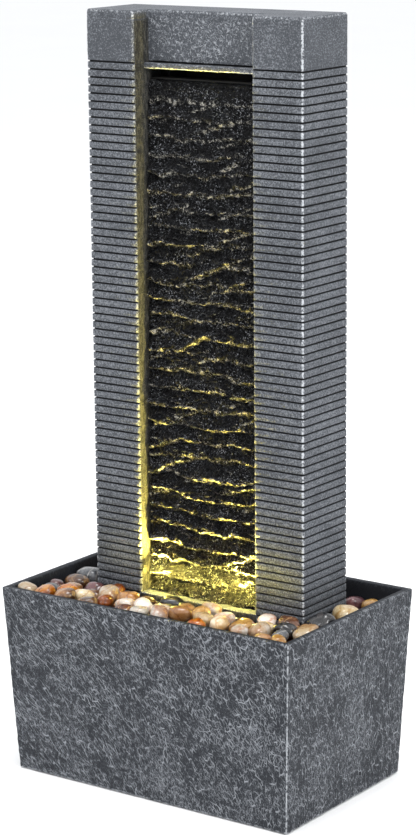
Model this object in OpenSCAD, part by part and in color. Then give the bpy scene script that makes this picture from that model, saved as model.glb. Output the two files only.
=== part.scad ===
// Free-standing cascading fountain: a ribbed tower with a rough stone water wall stands in a
// tapered trough of pebbles. A submersible pump in the tower's foot lifts the water through a
// hose to a spill trough under the cap, and it runs down the wall, over the sill and back.
// Millimetres. +Z is up, the front faces -Y, and the origin is under the middle of the base.

/* [Basin] */
// Outer width of the basin at its rim
basin_w = 380; // [300:1:480]
// Outer depth of the basin at its rim
basin_d = 246; // [200:1:320]
// Height of the rim above the ground
basin_h = 212; // [170:1:280]
// How far each end wall leans in between rim and foot
end_lean = 10; // [2:0.5:16]
// How far the front and back walls lean in between rim and foot
side_lean = 11; // [2:0.5:16]
// Thickness of the basin's walls
wall = 9; // [7:0.5:12]
// Thickness of the basin's floor
floor_t = 10; // [7:0.5:16]

/* [Tower] */
// Height of the tower's top above the ground
total_h = 838; // [640:1:1050]
// Depth of the tower from front to back
tower_d = 86; // [70:1:106]
// Gap between the rim's outer edge and each end of the tower
side_margin = 51; // [40:1:70]
// Gap between the back rim's outer edge and the tower
back_margin = 54.5; // [40:0.5:70]
// Width of each ribbed pillar
pillar_w = 63; // [45:1:76]
// Thickness of the tower's moulded shell
shell_t = 8; // [6:0.5:10]
// How far the cap's front face stands back between the pillars
header_setback = 27; // [18:1:32]
// Height of the plain cap above the first groove
cap_h = 54.5; // [40:0.5:90]
// Distance between grooves
groove_pitch = 8.6; // [7:0.1:12]
// Width of a groove
groove_w = 1.8; // [1:0.1:3]
// Depth of a groove
groove_d = 2.2; // [1:0.1:3]

/* [Water wall] */
// Distance from the pillars' front to the back of the stone panel
panel_back = 41.5; // [38:0.5:46]
// Nominal height of one stone course
course_h = 19.5; // [14:0.5:28]
// Height of the slot that the water leaves by
slot_h = 12; // [8:1:18]

/* [Pebbles] */
// Height of the pebble bed where it meets the tower, below the rim
bed_drop = 8; // [4:1:16]
// How far the bed is heaped up against the front and end rims
bed_heap = 14; // [0:1:18]
// Depth from the rim down to the top of the pebble tray
tray_drop = 46; // [42:1:70]
// Length of the plan cell that one pebble lies in
pebble_cell_x = 26; // [22:1:32]
// Width of the plan cell that one pebble lies in
pebble_cell_y = 22; // [19:0.5:28]

/* [Lamps] */
// Distance of each lamp from the middle of the tower
lamp_x = 54; // [45:1:62]
// Angle by which the lamps lean back towards the water wall
lamp_lean = 12; // [0:1:20]
// Radius of a lamp's housing
lamp_r = 9.5; // [8:0.5:11]

/* [Hose and pump] */
// Inner radius of the riser hose
hose_r = 6; // [5:0.5:6.5]
// Wall of the riser hose
hose_wall = 2; // [1.5:0.5:2.5]
// Radius of the impeller
impeller_r = 12; // [9:0.5:13]

/* [Hidden] */
$fn = 48;

fit = 0.5;                 // gap round a piece that drops into another
run = 0.05;                // radial clearance of a turning fit
touch = 0.2;               // gap between faces that only meet
through = 1;               // how far a cutter runs past a face

pad_proud = 1;             // the rubber feet stand this far below the basin
pad_r = 13;
pad_h = 4;
pad_inset = 24;
floor_z = pad_proud + floor_t;

tower_w = basin_w - 2 * side_margin;
recess_w = tower_w - 2 * pillar_w;
tower_back = basin_d / 2 - back_margin;
tower_front = tower_back - tower_d;
half_t = tower_w / 2;
half_r = recess_w / 2;
header_front = tower_front + header_setback;
rail_y = tower_front + panel_back;
rail_t = 6;
rail_w = 8;
cover_t = 5;
flange_w = 10;
flange_t = 6;

groove_top = total_h - cap_h;
lintel_z = groove_top - groove_w - 6;
lip_d = 8;
sill_z = basin_h - 13;
sill_t = 8;
panel_top = lintel_z - slot_h;
trough_h = 26;
trough_z = panel_top - trough_h;
trough_t = 2.5;

tray_t = 4;
tray_top = basin_h - tray_drop;
tray_fit = 1.5;
cover_z = tray_top - 14;

hose_y = (rail_y + rail_t + tower_back - cover_t) / 2;
hose_outer = hose_r + hose_wall;
barb_r = hose_r - run;
barb_bore = 4;

cup_h = 6;
pump_z = floor_z + cup_h;
pump_h = 44;
pump_d = 40;
pump_corner = 4;
axis_z = pump_z + pump_h / 2;
volute_t = 14;
volute_x = -6;
motor_l = 42;
motor_x = volute_x + volute_t;
motor_end = motor_x + motor_l;
chamber_r = impeller_r + 2;
magnet_r = 7;
magnet_l = 29;
shaft_r = 1.2;
strainer_l = 24;
strainer_x = volute_x - touch - strainer_l;
nozzle_top = pump_z + pump_h + 24;
hose_bottom = pump_z + pump_h + 5;
socket_z = axis_z - 11;
gland_z = axis_z + 11;

lamp_y = tower_front - 15;
pivot_z = tray_top + 19;
pivot_r = 2;
ear_gap = lamp_r + 1.5;
ear_t = 1.8;
bezel_r = lamp_r + 1;
lamp_back = 10;
lamp_front = 7;
bezel_h = 3;
lead_r = 1.5;

hatch_w = 130;
hatch_h = 120;
hatch_z = basin_h + 16;
hatch_lip = 8;
seal_t = 1.5;

drain_r = 8;
drain_z = floor_z + 18;

// ---------------------------------------------------------------- shapes that repeat

// Half the basin's outer width or depth at height z, before any inset
function half_w(z) = basin_w / 2 - end_lean * (basin_h - z) / basin_h;
function half_d(z) = basin_d / 2 - side_lean * (basin_h - z) / basin_h;

// A four-sided block with leaning walls, set in by inset from the basin's outside
module leaning_block(z0, z1, inset) {
    corners = [[-1, -1], [1, -1], [1, 1], [-1, 1]];
    ring = function (z) [for (c = corners) [c[0] * (half_w(z) - inset), c[1] * (half_d(z) - inset), z]];
    polyhedron(
        points = concat(ring(z0), ring(z1)),
        faces = [[0, 1, 2, 3], [7, 6, 5, 4], [4, 5, 1, 0], [5, 6, 2, 1], [6, 7, 3, 2], [7, 4, 0, 3]]
    );
}

// A box between two corners
module box(low, high) {
    translate(low) cube(high - low);
}

// A cylinder along X or Y that starts at a point
module rod_x(p, r, l) {
    translate(p) rotate([0, 90, 0]) cylinder(r = r, h = l);
}
module rod_y(p, r, l) {
    translate(p) rotate([-90, 0, 0]) cylinder(r = r, h = l);
}

// A rectangle with round corners, centred
module round_rect(w, d, r) {
    square([w - 2 * r, d], center = true);
    square([w, d - 2 * r], center = true);
    for (x = [-1, 1], y = [-1, 1]) translate([x * (w / 2 - r), y * (d / 2 - r)]) circle(r = r);
}

// The pump's outline, standing on edge and extruded along X from x0 by l
module pump_block(x0, l, inset = 0) {
    translate([x0, hose_y, axis_z]) rotate([90, 0, 90])
        linear_extrude(l) round_rect(pump_d - 2 * inset, pump_h - 2 * inset, pump_corner);
}

// A pan-head screw whose head seats on z = 0 and whose shank points down
module screw(shank_r, length, head_r, head_h) {
    difference() {
        union() {
            cylinder(r = head_r, h = head_h);
            translate([0, 0, -length]) cylinder(r = shank_r, h = length + head_h / 2);
        }
        for (a = [0, 90]) rotate([0, 0, a])
            translate([-head_r * 0.6, -0.35, head_h * 0.4]) cube([head_r * 1.2, 0.7, head_h]);
    }
}

// A round tube swept through points, with 8 sides; each ring lies square to the path
module swept_tube(path, r) {
    sides = 8;
    n = len(path);
    unit = function (v) v / norm(v);
    along = function (i) unit(path[min(i + 1, n - 1)] - path[max(i - 1, 0)]);
    rings = [
        for (i = [0:n - 1])
            let (
                t = along(i),
                u = unit(cross(t, abs(t[2]) < 0.9 ? [0, 0, 1] : [0, 1, 0])),
                v = cross(t, u)
            )
            [for (k = [0:sides - 1]) path[i] + r * (cos(360 * k / sides) * u + sin(360 * k / sides) * v)]
    ];
    polyhedron(
        points = [for (ring = rings) each ring],
        faces = concat(
            [[for (k = [sides - 1:-1:0]) k]],
            [
                for (i = [0:n - 2], k = [0:sides - 1])
                    let (a = i * sides + k, b = i * sides + (k + 1) % sides)
                    [a, b, b + sides, a + sides]
            ],
            [[for (k = [0:sides - 1]) (n - 1) * sides + k]]
        )
    );
}

// Points on a smooth curve through the given ones (Catmull-Rom), steps to each stretch
function smooth(p, steps) = concat(
    [
        for (i = [0:len(p) - 2], s = [0:steps - 1])
            let (
                t = s / steps,
                a = p[max(i - 1, 0)], b = p[i], c = p[i + 1], d = p[min(i + 2, len(p) - 1)]
            )
            0.5 * (2 * b + (c - a) * t + (2 * a - 5 * b + 4 * c - d) * t * t
                + (3 * b - a - 3 * c + d) * t * t * t)
    ],
    [p[len(p) - 1]]
);

// ---------------------------------------------------------------- basin

// Ribs on the inside walls carry the pebble tray
module tray_ribs() {
    reach = 14;
    top = tray_top - tray_t;
    inner_w = half_w(top) - wall;
    inner_d = half_d(top) - wall;
    for (s = [-1, 1]) {
        for (x = [-0.62, 0, 0.62])
            translate([x * inner_w - 5, s > 0 ? inner_d - reach / 2 : -inner_d - reach / 2, floor_z - through])
                cube([10, reach, top - floor_z + through]);
        translate([s > 0 ? inner_w - reach / 2 : -inner_w - reach / 2, -5, floor_z - through])
            cube([reach, 10, top - floor_z + through]);
    }
}

// A low kerb on the floor holds the tower's foot in place
module tower_kerb() {
    kerb = 4;
    difference() {
        box([-half_t - fit - kerb, tower_front - fit - kerb, floor_z - through],
            [half_t + fit + kerb, tower_back + fit + kerb, floor_z + 6]);
        box([-half_t - fit, tower_front - fit, floor_z - 2 * through],
            [half_t + fit, tower_back + fit, floor_z + 6 + through]);
        for (x = [-1, 1]) box([x * 55 - 25, tower_front - 20, floor_z], [x * 55 + 25, tower_front + 20, floor_z + 9]);
        box([-half_t + 30, tower_back - 20, floor_z], [half_t - 30, tower_back + 20, floor_z + 9]);
    }
}

module foot_places() {
    for (x = [-1, 1], y = [-1, 1])
        translate([x * (half_w(0) - pad_inset), y * (half_d(0) - pad_inset), 0]) children();
}

drain_face = half_d(drain_z) + 2.5;

module basin() {
    color("dimgray") difference() {
        union() {
            difference() {
                leaning_block(pad_proud, basin_h, 0);
                leaning_block(floor_z, basin_h + through, wall);
            }
            intersection() {
                tray_ribs();
                leaning_block(pad_proud, basin_h, wall / 2);
            }
            tower_kerb();
            rod_y([0, half_d(drain_z) - wall / 2, drain_z], 15, wall / 2 + 2.5);
        }
        foot_places() translate([0, 0, pad_proud - through]) cylinder(r = pad_r + touch, h = pad_h - pad_proud + through);
        rod_y([0, half_d(drain_z) - wall - 10, drain_z], drain_r, wall + 20);
    }
}

module feet() {
    color("black") foot_places() cylinder(r = pad_r, h = pad_h - touch);
}

module drain_plug() {
    color("black") {
        rod_y([0, drain_face - wall - 4, drain_z], drain_r - run, wall + 4 + touch);
        rod_y([0, drain_face + touch, drain_z], 12, 3);
        difference() {
            rod_y([0, drain_face + touch + 3, drain_z], 5, 4);
            box([-6, drain_face + touch + 4.5, drain_z - 1], [6, drain_face + touch + 8, drain_z + 1]);
        }
    }
}

// ---------------------------------------------------------------- tower

// Plan of the tower's outside, notched where the cap stands back between the pillars
module tower_outline() {
    polygon([
        [-half_t, tower_front], [-half_r, tower_front], [-half_r, header_front], [half_r, header_front],
        [half_r, tower_front], [half_t, tower_front], [half_t, tower_back], [-half_t, tower_back]
    ]);
}

// Plan of one side: outer wall, pillar front and the flange that the back panel lies on
module side_plan(inner_x) {
    x = half_t - shell_t;
    y = tower_back - cover_t;
    polygon([
        [inner_x, tower_front], [half_t, tower_front], [half_t, tower_back], [x, tower_back], [x, y],
        [x - flange_w, y], [x - flange_w, y - flange_t], [x, y - flange_t],
        [x, tower_front + shell_t], [inner_x, tower_front + shell_t]
    ]);
}

module both_sides() {
    children();
    mirror([1, 0, 0]) children();
}

// One groove round the front and the end of the right-hand pillar
module groove() {
    linear_extrude(groove_w) polygon([
        [half_r - through, tower_front - through], [half_t + through, tower_front - through],
        [half_t + through, tower_back + through], [half_t - groove_d, tower_back + through],
        [half_t - groove_d, tower_front + groove_d], [half_r - through, tower_front + groove_d]
    ]);
}

groove_count = floor((groove_top - tray_top) / groove_pitch);

screw_levels = 5;
function back_screw_z(i) = cover_z + 18 + i * (total_h - shell_t - cover_z - 36) / (screw_levels - 1);
back_screw_x = half_t - shell_t - flange_w / 2;

module back_screw_places() {
    for (s = [-1, 1], i = [0:screw_levels - 1])
        translate([s * back_screw_x, tower_back, back_screw_z(i)]) rotate([-90, 0, 0]) children();
}

// Openings at the foot let the water back to the pump and the lamp leads in
module foot_arches() {
    for (s = [-1, 1]) {
        box([s * 55 - 22, tower_front - through, floor_z - through],
            [s * 55 + 22, tower_front + shell_t + through, floor_z + 30]);
        box([s > 0 ? half_t - shell_t - through : -half_t - through, tower_front + 26, floor_z - through],
            [s > 0 ? half_t + through : -half_t + shell_t + through, tower_back - 26, floor_z + 30]);
    }
}

module tower_shell() {
    body_h = total_h - floor_z;
    color("slategray") difference() {
        union() {
            both_sides() {
                translate([0, 0, floor_z]) linear_extrude(body_h) side_plan(half_r);
                // the cheek beside the water wall, and the rail that the panel is bonded to
                box([half_r, tower_front, sill_z - sill_t], [half_r + shell_t, rail_y + rail_t, total_h]);
                box([half_r - rail_w, rail_y, sill_z - sill_t], [half_r + through, rail_y + rail_t, trough_z]);
            }
            // cap
            translate([0, 0, total_h - shell_t]) linear_extrude(shell_t) tower_outline();
            box([-half_r - through, header_front, lintel_z], [half_r + through, header_front + shell_t, total_h]);
            box([-half_r - through, header_front - lip_d, lintel_z],
                [half_r + through, header_front + through, groove_top - groove_w]);
            // plinth under the water wall, with the sill that the water runs off
            box([-half_r - through, tower_front, floor_z], [half_r + through, tower_front + shell_t, sill_z]);
            box([-half_r - through, tower_front, sill_z - sill_t], [half_r + through, rail_y + rail_t, sill_z]);
        }
        for (i = [0:groove_count - 1])
            translate([0, 0, groove_top - groove_w - i * groove_pitch]) {
                groove();
                mirror([1, 0, 0]) groove();
            }
        box([-half_r, header_front - through, groove_top - groove_w], [half_r, header_front + groove_d, groove_top]);
        foot_arches();
        back_screw_places() translate([0, 0, -cover_t - flange_t - through]) cylinder(r = 1.5 + run, h = flange_t + 2 * through);
        for (s = [-1, 1]) translate([s * (half_r - rail_w / 2), rail_y + rail_t / 2, trough_z - 8])
            cylinder(r = 1.5 + run, h = 8 + through);
    }
}

// ---------------------------------------------------------------- water wall

courses = round((panel_top - sill_z) / course_h);
course = (panel_top - sill_z - touch) / courses;

// Each course leans out towards its lower edge, where it drops back to the course below, so the
// water falls from lip to lip. The wall leans forwards towards its foot, and the lips stand out
// by different amounts.
function wall_y(z) = header_front - 7 * (panel_top - z) / (panel_top - sill_z);
function lip_reach(i) = 3.2 + 1.6 * sin(i * 137.5) + 1.0 * sin(i * 61);

module cascade_panel() {
    z0 = sill_z + touch;
    profile = concat(
        [[rail_y - touch, z0]],
        [
            for (i = [0:courses - 1], top = [0, 1])
                let (z = z0 + (i + top) * course)
                [wall_y(z) + (top == 1 ? 4 : -lip_reach(i)), z]
        ],
        [[rail_y - touch, z0 + courses * course]]
    );
    color("black") translate([half_r - fit, 0, 0]) rotate([90, 0, -90])
        linear_extrude(recess_w - 2 * fit)
            polygon([for (p = profile) [-p[0], p[1]]]);
}

// ---------------------------------------------------------------- back of the tower

module hatch_opening(grow, y0, y1) {
    box([-hatch_w / 2 - grow, y0, hatch_z - grow], [hatch_w / 2 + grow, y1, hatch_z + hatch_h + grow]);
}

grommet_r = 8;
grommet_x = half_t - shell_t - flange_w - 24;
grommet_z = basin_h + 20;
cord_r = 3.5;

module back_panel() {
    edge = half_t - shell_t - fit;
    color("dimgray") difference() {
        box([-edge, tower_back - cover_t + touch, cover_z], [edge, tower_back, total_h - shell_t - fit]);
        hatch_opening(0, tower_back - cover_t - through, tower_back + through);
        back_screw_places() translate([0, 0, -cover_t - through]) cylinder(r = 1.8, h = cover_t + 2 * through);
        rod_y([grommet_x, tower_back - cover_t - through, grommet_z], grommet_r, cover_t + 2 * through);
    }
}

module back_panel_screws() {
    color("silver") back_screw_places() translate([0, 0, touch / 2]) screw(1.5, cover_t + flange_t, 3.5, 2.2);
}

// The hatch plugs into the opening: a plate, a rim that goes in, and a bar to pull it by
module access_hatch() {
    y = tower_back + seal_t + 2 * touch;
    color("dimgray") {
        hatch_opening(hatch_lip, y, y + 4);
        difference() {
            hatch_opening(-fit, y - 9, y + through);
            hatch_opening(-fit - 3, y - 9 - through, y);
        }
        difference() {
            union() {
                box([-24, y + 3, hatch_z + hatch_h - 26], [24, y + 14, hatch_z + hatch_h - 18]);
            }
            box([-17, y + 4, hatch_z + hatch_h - 28], [17, y + 9, hatch_z + hatch_h - 16]);
        }
    }
}

module hatch_seal() {
    color("black") difference() {
        hatch_opening(hatch_lip, tower_back + touch, tower_back + touch + seal_t);
        hatch_opening(fit, tower_back, tower_back + 2 * seal_t);
    }
}

module cable_grommet() {
    flange = 2;
    y = tower_back - cover_t;
    color("black") difference() {
        union() {
            rod_y([grommet_x, y - flange, grommet_z], grommet_r + 3, flange);
            rod_y([grommet_x, y - flange / 2, grommet_z], grommet_r - touch, cover_t + flange);
            rod_y([grommet_x, tower_back + touch, grommet_z], grommet_r + 3, flange);
        }
        rod_y([grommet_x, y - flange - through, grommet_z], cord_r, cover_t + 2 * flange + touch + 2 * through);
    }
}

// ---------------------------------------------------------------- spill trough and hose

trough_front = rail_y + touch;
trough_back = tower_back - cover_t - 1.5;
trough_half = half_r - 1;
trough_screw_x = half_r - rail_w / 2;

module spill_trough() {
    rim = lintel_z + 4;
    color("black") difference() {
        union() {
            box([-trough_half, trough_front, trough_z + touch], [trough_half, trough_back, rim]);
            // the lip that leads the water over the top of the panel
            box([-trough_half, header_front + 3, panel_top + touch], [trough_half, trough_front + through, panel_top + 2]);
            translate([0, hose_y, trough_z - 20]) cylinder(r = barb_r, h = 20 + through);
        }
        box([-trough_half + 13, trough_front + trough_t, trough_z + trough_t],
            [trough_half - 13, trough_back - trough_t, rim + through]);
        // the front wall stops at the lip, and so do the ends above the screw ears
        box([-trough_half - through, trough_front - through, panel_top + 2], [trough_half + through, trough_front + trough_t + through, rim + through]);
        box([-trough_half - through, header_front, panel_top + 2], [trough_half + through, trough_front, rim + through]);
        for (s = [-1, 1]) {
            box([s > 0 ? trough_half - 11 : -trough_half - through, trough_front - through, trough_z + 4],
                [s > 0 ? trough_half + through : -trough_half + 11, trough_back + through, panel_top]);
            box([s > 0 ? trough_half - 11 : -trough_half - through, trough_front + trough_t, panel_top - through],
                [s > 0 ? trough_half + through : -trough_half + 11, trough_back + through, rim + through]);
            translate([s * trough_screw_x, rail_y + rail_t / 2, trough_z - through]) cylinder(r = 1.8, h = 8);
        }
        translate([0, hose_y, trough_z - 20 - through]) cylinder(r = barb_bore, h = 30);
    }
}

module trough_screws() {
    color("silver") for (s = [-1, 1])
        translate([s * trough_screw_x, rail_y + rail_t / 2, trough_z + 4 + touch]) screw(1.5, 9, 2.8, 2);
}

module riser_hose() {
    color("lightsteelblue") translate([0, hose_y, hose_bottom]) difference() {
        cylinder(r = hose_outer, h = trough_z - hose_bottom - touch);
        translate([0, 0, -through]) cylinder(r = hose_r, h = trough_z - hose_bottom + 2 * through);
    }
}

module hose_clamps() {
    r = hose_outer + run;
    color("silver") for (z = [hose_bottom + 5, trough_z - 14]) translate([0, hose_y, z]) {
        difference() {
            union() {
                cylinder(r = r + 1.2, h = 8);
                for (a = [-14, 14]) rotate([0, 0, a]) translate([r, -0.8, 0]) cube([6, 1.6, 8]);
            }
            translate([0, 0, -through]) cylinder(r = r, h = 8 + 2 * through);
        }
    }
}

// ---------------------------------------------------------------- pump

module pump_body() {
    color("darkslategray") difference() {
        union() {
            pump_block(motor_x, motor_l);
            for (y = [-10, 10]) rod_x([motor_end - through, hose_y + y, socket_z], 5, through + 3);
            rod_x([motor_end - through, hose_y, gland_z], 7, through + 3);
        }
        rod_x([motor_x - through, hose_y, axis_z], magnet_r + 0.5, magnet_l + 2 + through);
        rod_x([motor_x, hose_y, axis_z], shaft_r + run, magnet_l + 6);
        for (y = [-10, 10]) rod_x([motor_end - 2, hose_y + y, socket_z], 3 + run, 6);
        rod_x([motor_end - 2, hose_y, gland_z], 4 + run, 6);
    }
}

module pump_volute() {
    color("darkslategray") difference() {
        union() {
            pump_block(volute_x, volute_t - touch);
            translate([0, hose_y, axis_z + chamber_r + 2]) cylinder(r = barb_r, h = nozzle_top - axis_z - chamber_r - 2);
        }
        difference() {
            rod_x([volute_x + 2.5, hose_y, axis_z], chamber_r, volute_t);
            // three arms across the inlet carry the shaft's front end
            rod_x([volute_x, hose_y, axis_z], 3, 4.5);
        }
        difference() {
            rod_x([volute_x - through, hose_y, axis_z], 8, 2.5 + 2 * through);
            rod_x([volute_x - 2 * through, hose_y, axis_z], 3, 8);
            for (a = [0, 120, 240]) translate([volute_x, hose_y, axis_z]) rotate([a, 0, 0])
                translate([0, -1.2, 0]) cube([2.5, 2.4, 9]);
        }
        rod_x([volute_x + 1, hose_y, axis_z], shaft_r + run, 8);
        translate([0, hose_y, axis_z]) cylinder(r = barb_bore, h = nozzle_top);
    }
}

module pump_suction_cups() {
    color("black") for (x = [motor_x + 6, motor_end - 8], y = [-12, 12])
        translate([x, hose_y + y, floor_z + touch]) {
            cylinder(r1 = 7, r2 = 4, h = 3);
            translate([0, 0, 3]) cylinder(r = 3, h = cup_h - 3 - 2 * touch);
        }
}

module pump_shaft() {
    color("white") rod_x([volute_x + 1 + touch, hose_y, axis_z], shaft_r, motor_x + magnet_l + 5 - volute_x - 1 - touch);
}

module impeller() {
    blades = 6;
    back = motor_x - 2.5;
    color("orange") difference() {
        union() {
            rod_x([back, hose_y, axis_z], impeller_r, 1.5);
            rod_x([volute_x + 5, hose_y, axis_z], 3.5, back - volute_x - 4);
            for (k = [0:blades - 1]) translate([0, hose_y, axis_z]) rotate([k * 360 / blades, 0, 0])
                box([volute_x + 5, -0.8, 2.5], [back + through, 0.8, impeller_r - 0.5]);
            rod_x([back + 1, hose_y, axis_z], 4.5, 3);
            rod_x([motor_x + 1, hose_y, axis_z], magnet_r, magnet_l - 1);
        }
        rod_x([volute_x, hose_y, axis_z], shaft_r + 2 * run, motor_l + volute_t);
    }
}

module intake_strainer() {
    skin = 2;
    color("darkslategray") difference() {
        pump_block(strainer_x, strainer_l);
        pump_block(strainer_x + skin, strainer_l, skin);
        for (i = [0:3]) box([strainer_x + 4 + i * 4.8, hose_y - pump_d, axis_z - 14], [strainer_x + 6.4 + i * 4.8, hose_y + pump_d, axis_z + 14]);
        rod_x([strainer_x - through, hose_y, axis_z], 3 + run, skin + 2 * through);
        for (a = [-60, 60, 180]) translate([0, hose_y, axis_z]) rotate([a, 0, 0])
            rod_x([strainer_x - through, 0, 7.5], 2.5, skin + 2 * through);
    }
}

// A disc on the strainer's face: turning it covers or opens the three intake holes
module flow_dial() {
    x = strainer_x - touch - 3;
    color("gray") difference() {
        union() {
            rod_x([x, hose_y, axis_z], 11.5, 3);
            rod_x([x + 3, hose_y, axis_z], 3, 5);
            rod_x([strainer_x + 2 + touch, hose_y, axis_z], 3.6, 1.5);
            box([x - 3, hose_y - 1.5, axis_z - 9], [x + 1, hose_y + 1.5, axis_z + 9]);
        }
        for (a = [-60, 60, 180]) translate([0, hose_y, axis_z]) rotate([a, 0, 0])
            rod_x([x - 4, 0, 7.5], 2.5, 10);
    }
}

// The power cord's rubber gland; its hole is where the cord is moulded in
module pump_cable_gland() {
    color("black") difference() {
        union() {
            rod_x([motor_end - 2 + touch, hose_y, gland_z], 4, 6);
            translate([motor_end + 3 + touch, hose_y, gland_z]) rotate([0, 90, 0]) cylinder(r1 = 5.5, r2 = 4.3, h = 14);
        }
        rod_x([motor_end + 2, hose_y, gland_z], cord_r, 20);
    }
}

// ---------------------------------------------------------------- pebble tray and lamps

lead_x = lamp_x + ear_gap + ear_t + 5.5;

module tray_slots() {
    bar = 10;
    front_y = -half_d(tray_top) + wall + 22;
    for (x = [-half_w(tray_top) + wall + 26:bar:half_w(tray_top) - wall - 26]) {
        if (abs(abs(x) - lamp_x) > 28) box([x - 2, front_y, tray_top - tray_t - through], [x + 2, tower_front - 16, tray_top + through]);
        box([x - 2, tower_back + 12, tray_top - tray_t - through], [x + 2, half_d(tray_top) - wall - 18, tray_top + through]);
    }
    for (s = [-1, 1], y = [tower_front + 6:bar:tower_back - 4])
        box([s > 0 ? half_t + 10 : -half_w(tray_top) + wall + 14, y - 2, tray_top - tray_t - through],
            [s > 0 ? half_w(tray_top) - wall - 14 : -half_t - 10, y + 2, tray_top + through]);
}

module pebble_tray() {
    edge_w = half_w(tray_top - tray_t) - wall - tray_fit;
    edge_d = half_d(tray_top - tray_t) - wall - tray_fit;
    color("black") difference() {
        box([-edge_w, -edge_d, tray_top - tray_t], [edge_w, edge_d, tray_top]);
        box([-half_t - tray_fit, tower_front - tray_fit, tray_top - tray_t - through],
            [half_t + tray_fit, tower_back + tray_fit, tray_top + through]);
        tray_slots();
        for (s = [-1, 1]) translate([s * lead_x, lamp_y, tray_top - tray_t - through]) cylinder(r = 4, h = tray_t + 2 * through);
        lamp_places() bracket_screw_places() translate([0, 0, -tray_t - through]) cylinder(r = 1.5 + run, h = tray_t + 2 * through);
    }
}

module lamp_places() {
    for (s = [-1, 1]) translate([s * lamp_x, lamp_y, tray_top]) children();
}

module bracket_screw_places() {
    for (x = [-4.5, 4.5]) translate([x, 0, 0]) children();
}

module led_brackets() {
    ear_top = pivot_z - tray_top + 5;
    color("silver") lamp_places() difference() {
        union() {
            box([-ear_gap - ear_t, -5, touch], [ear_gap + ear_t, 5, 2]);
            for (s = [-1, 1]) box([s > 0 ? ear_gap : -ear_gap - ear_t, -5, 1], [s > 0 ? ear_gap + ear_t : -ear_gap, 5, ear_top]);
        }
        rod_x([-30, 0, pivot_z - tray_top], pivot_r + run, 60);
        bracket_screw_places() translate([0, 0, -through]) cylinder(r = 1.8, h = 5);
    }
}

module led_bracket_screws() {
    color("silver") lamp_places() bracket_screw_places() translate([0, 0, 2 + touch]) screw(1.5, 6, 2.8, 1.8);
}

// A lamp is drawn upright about its pivot and then leant back towards the water wall
module lamp_frame(side) {
    translate([side * lamp_x, lamp_y, pivot_z]) rotate([-lamp_lean, 0, 0]) children();
}

module led_housing(side) {
    color("dimgray") lamp_frame(side) difference() {
        union() {
            translate([0, 0, -lamp_back]) cylinder(r = lamp_r, h = lamp_back + lamp_front);
            rod_x([-ear_gap - ear_t - 1.5, 0, 0], pivot_r, 2 * (ear_gap + ear_t + 1.5));
            for (z = [-8.5, -6, -3.5]) translate([0, 0, z]) cylinder(r = lamp_r + 0.6, h = 1.2);
        }
        translate([0, 0, -lamp_back + 5]) cylinder(r = lamp_r - 1.5, h = 30);
    }
}

module led_bezel(side) {
    color("silver") lamp_frame(side) translate([0, 0, lamp_front + touch]) difference() {
        cylinder(r = bezel_r, h = bezel_h);
        translate([0, 0, 1.8]) cylinder(r = lamp_r - 2.6, h = 5);
        translate([0, 0, -through]) cylinder(r = lamp_r - 1.5, h = 2.8);
    }
}

module led_lens(side) {
    color("lightyellow") lamp_frame(side) translate([0, 0, lamp_front - 1]) cylinder(r = lamp_r - 1.6, h = 2.6);
}

// The board carries three light-emitting dies under their domes
module led_board(side) {
    color("gold") lamp_frame(side) translate([0, 0, -lamp_back + 5 + touch]) {
        cylinder(r = lamp_r - 1.7, h = 1.6);
        for (a = [90, 210, 330]) rotate([0, 0, a]) translate([4.2, 0, 1.5]) {
            translate([-1.5, -1.5, 0]) cube([3, 3, 1]);
            cylinder(r = 1.2, h = 2.2);
        }
    }
}

plug_end = motor_end + 15;

// From each lamp's pivot the lead drops through the tray, goes in under the plinth and plugs
// into the pump's motor housing.
module led_leads() {
    start = lamp_x + ear_gap + ear_t + 1.5 + touch;
    low = floor_z + 9;
    right = [
        [start, lamp_y, pivot_z], [start + 2.5, lamp_y, pivot_z - 1], [lead_x, lamp_y, pivot_z - 7],
        [lead_x, lamp_y, tray_top - 10], [lead_x, lamp_y, low + 50], [lead_x - 4, lamp_y + 3, low + 12],
        [66, tower_front - 4, low + 6], [64, tower_front + 14, low + 6],
        [plug_end + 6, hose_y - 20, socket_z], [plug_end + 4, hose_y - 12, socket_z], [plug_end, hose_y - 10, socket_z]
    ];
    left = [
        [-start, lamp_y, pivot_z], [-start - 2.5, lamp_y, pivot_z - 1], [-lead_x, lamp_y, pivot_z - 7],
        [-lead_x, lamp_y, tray_top - 10], [-lead_x, lamp_y, low + 50], [-lead_x + 4, lamp_y + 3, low + 10],
        [-62, tower_front - 4, low], [-56, tower_front + 13, low - 4], [0, tower_front + 16, low - 5],
        [62, tower_front + 16, low - 5], [plug_end + 14, hose_y - 14, low - 4],
        [plug_end + 14, hose_y + 4, low + 2], [plug_end + 6, hose_y + 10, socket_z], [plug_end, hose_y + 10, socket_z]
    ];
    color("black") {
        swept_tube(smooth(right, 4), lead_r);
        swept_tube(smooth(left, 4), lead_r);
    }
}

module led_connectors() {
    color("black") for (y = [-10, 10]) {
        rod_x([motor_end - 1.5, hose_y + y, socket_z], 3, 5);
        rod_x([motor_end + 3 + touch, hose_y + y, socket_z], 4.2, plug_end - motor_end - 3 - 2 * touch);
    }
}

// ---------------------------------------------------------------- pebbles

// A repeatable number from 0 to 1 for each stone and purpose
function chance(a, b, c, k) = let (v = sin(a * 127.1 + b * 311.7 + c * 74.7 + k * 219.3 + 11) * 4375.85) v - floor(v);

wall_gap = 0.6;
stone_gap = 0.2;
least_scale = 0.5;
bed_w = half_w(basin_h - 26) - wall;
bed_d = half_d(basin_h - 26) - wall;

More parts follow.
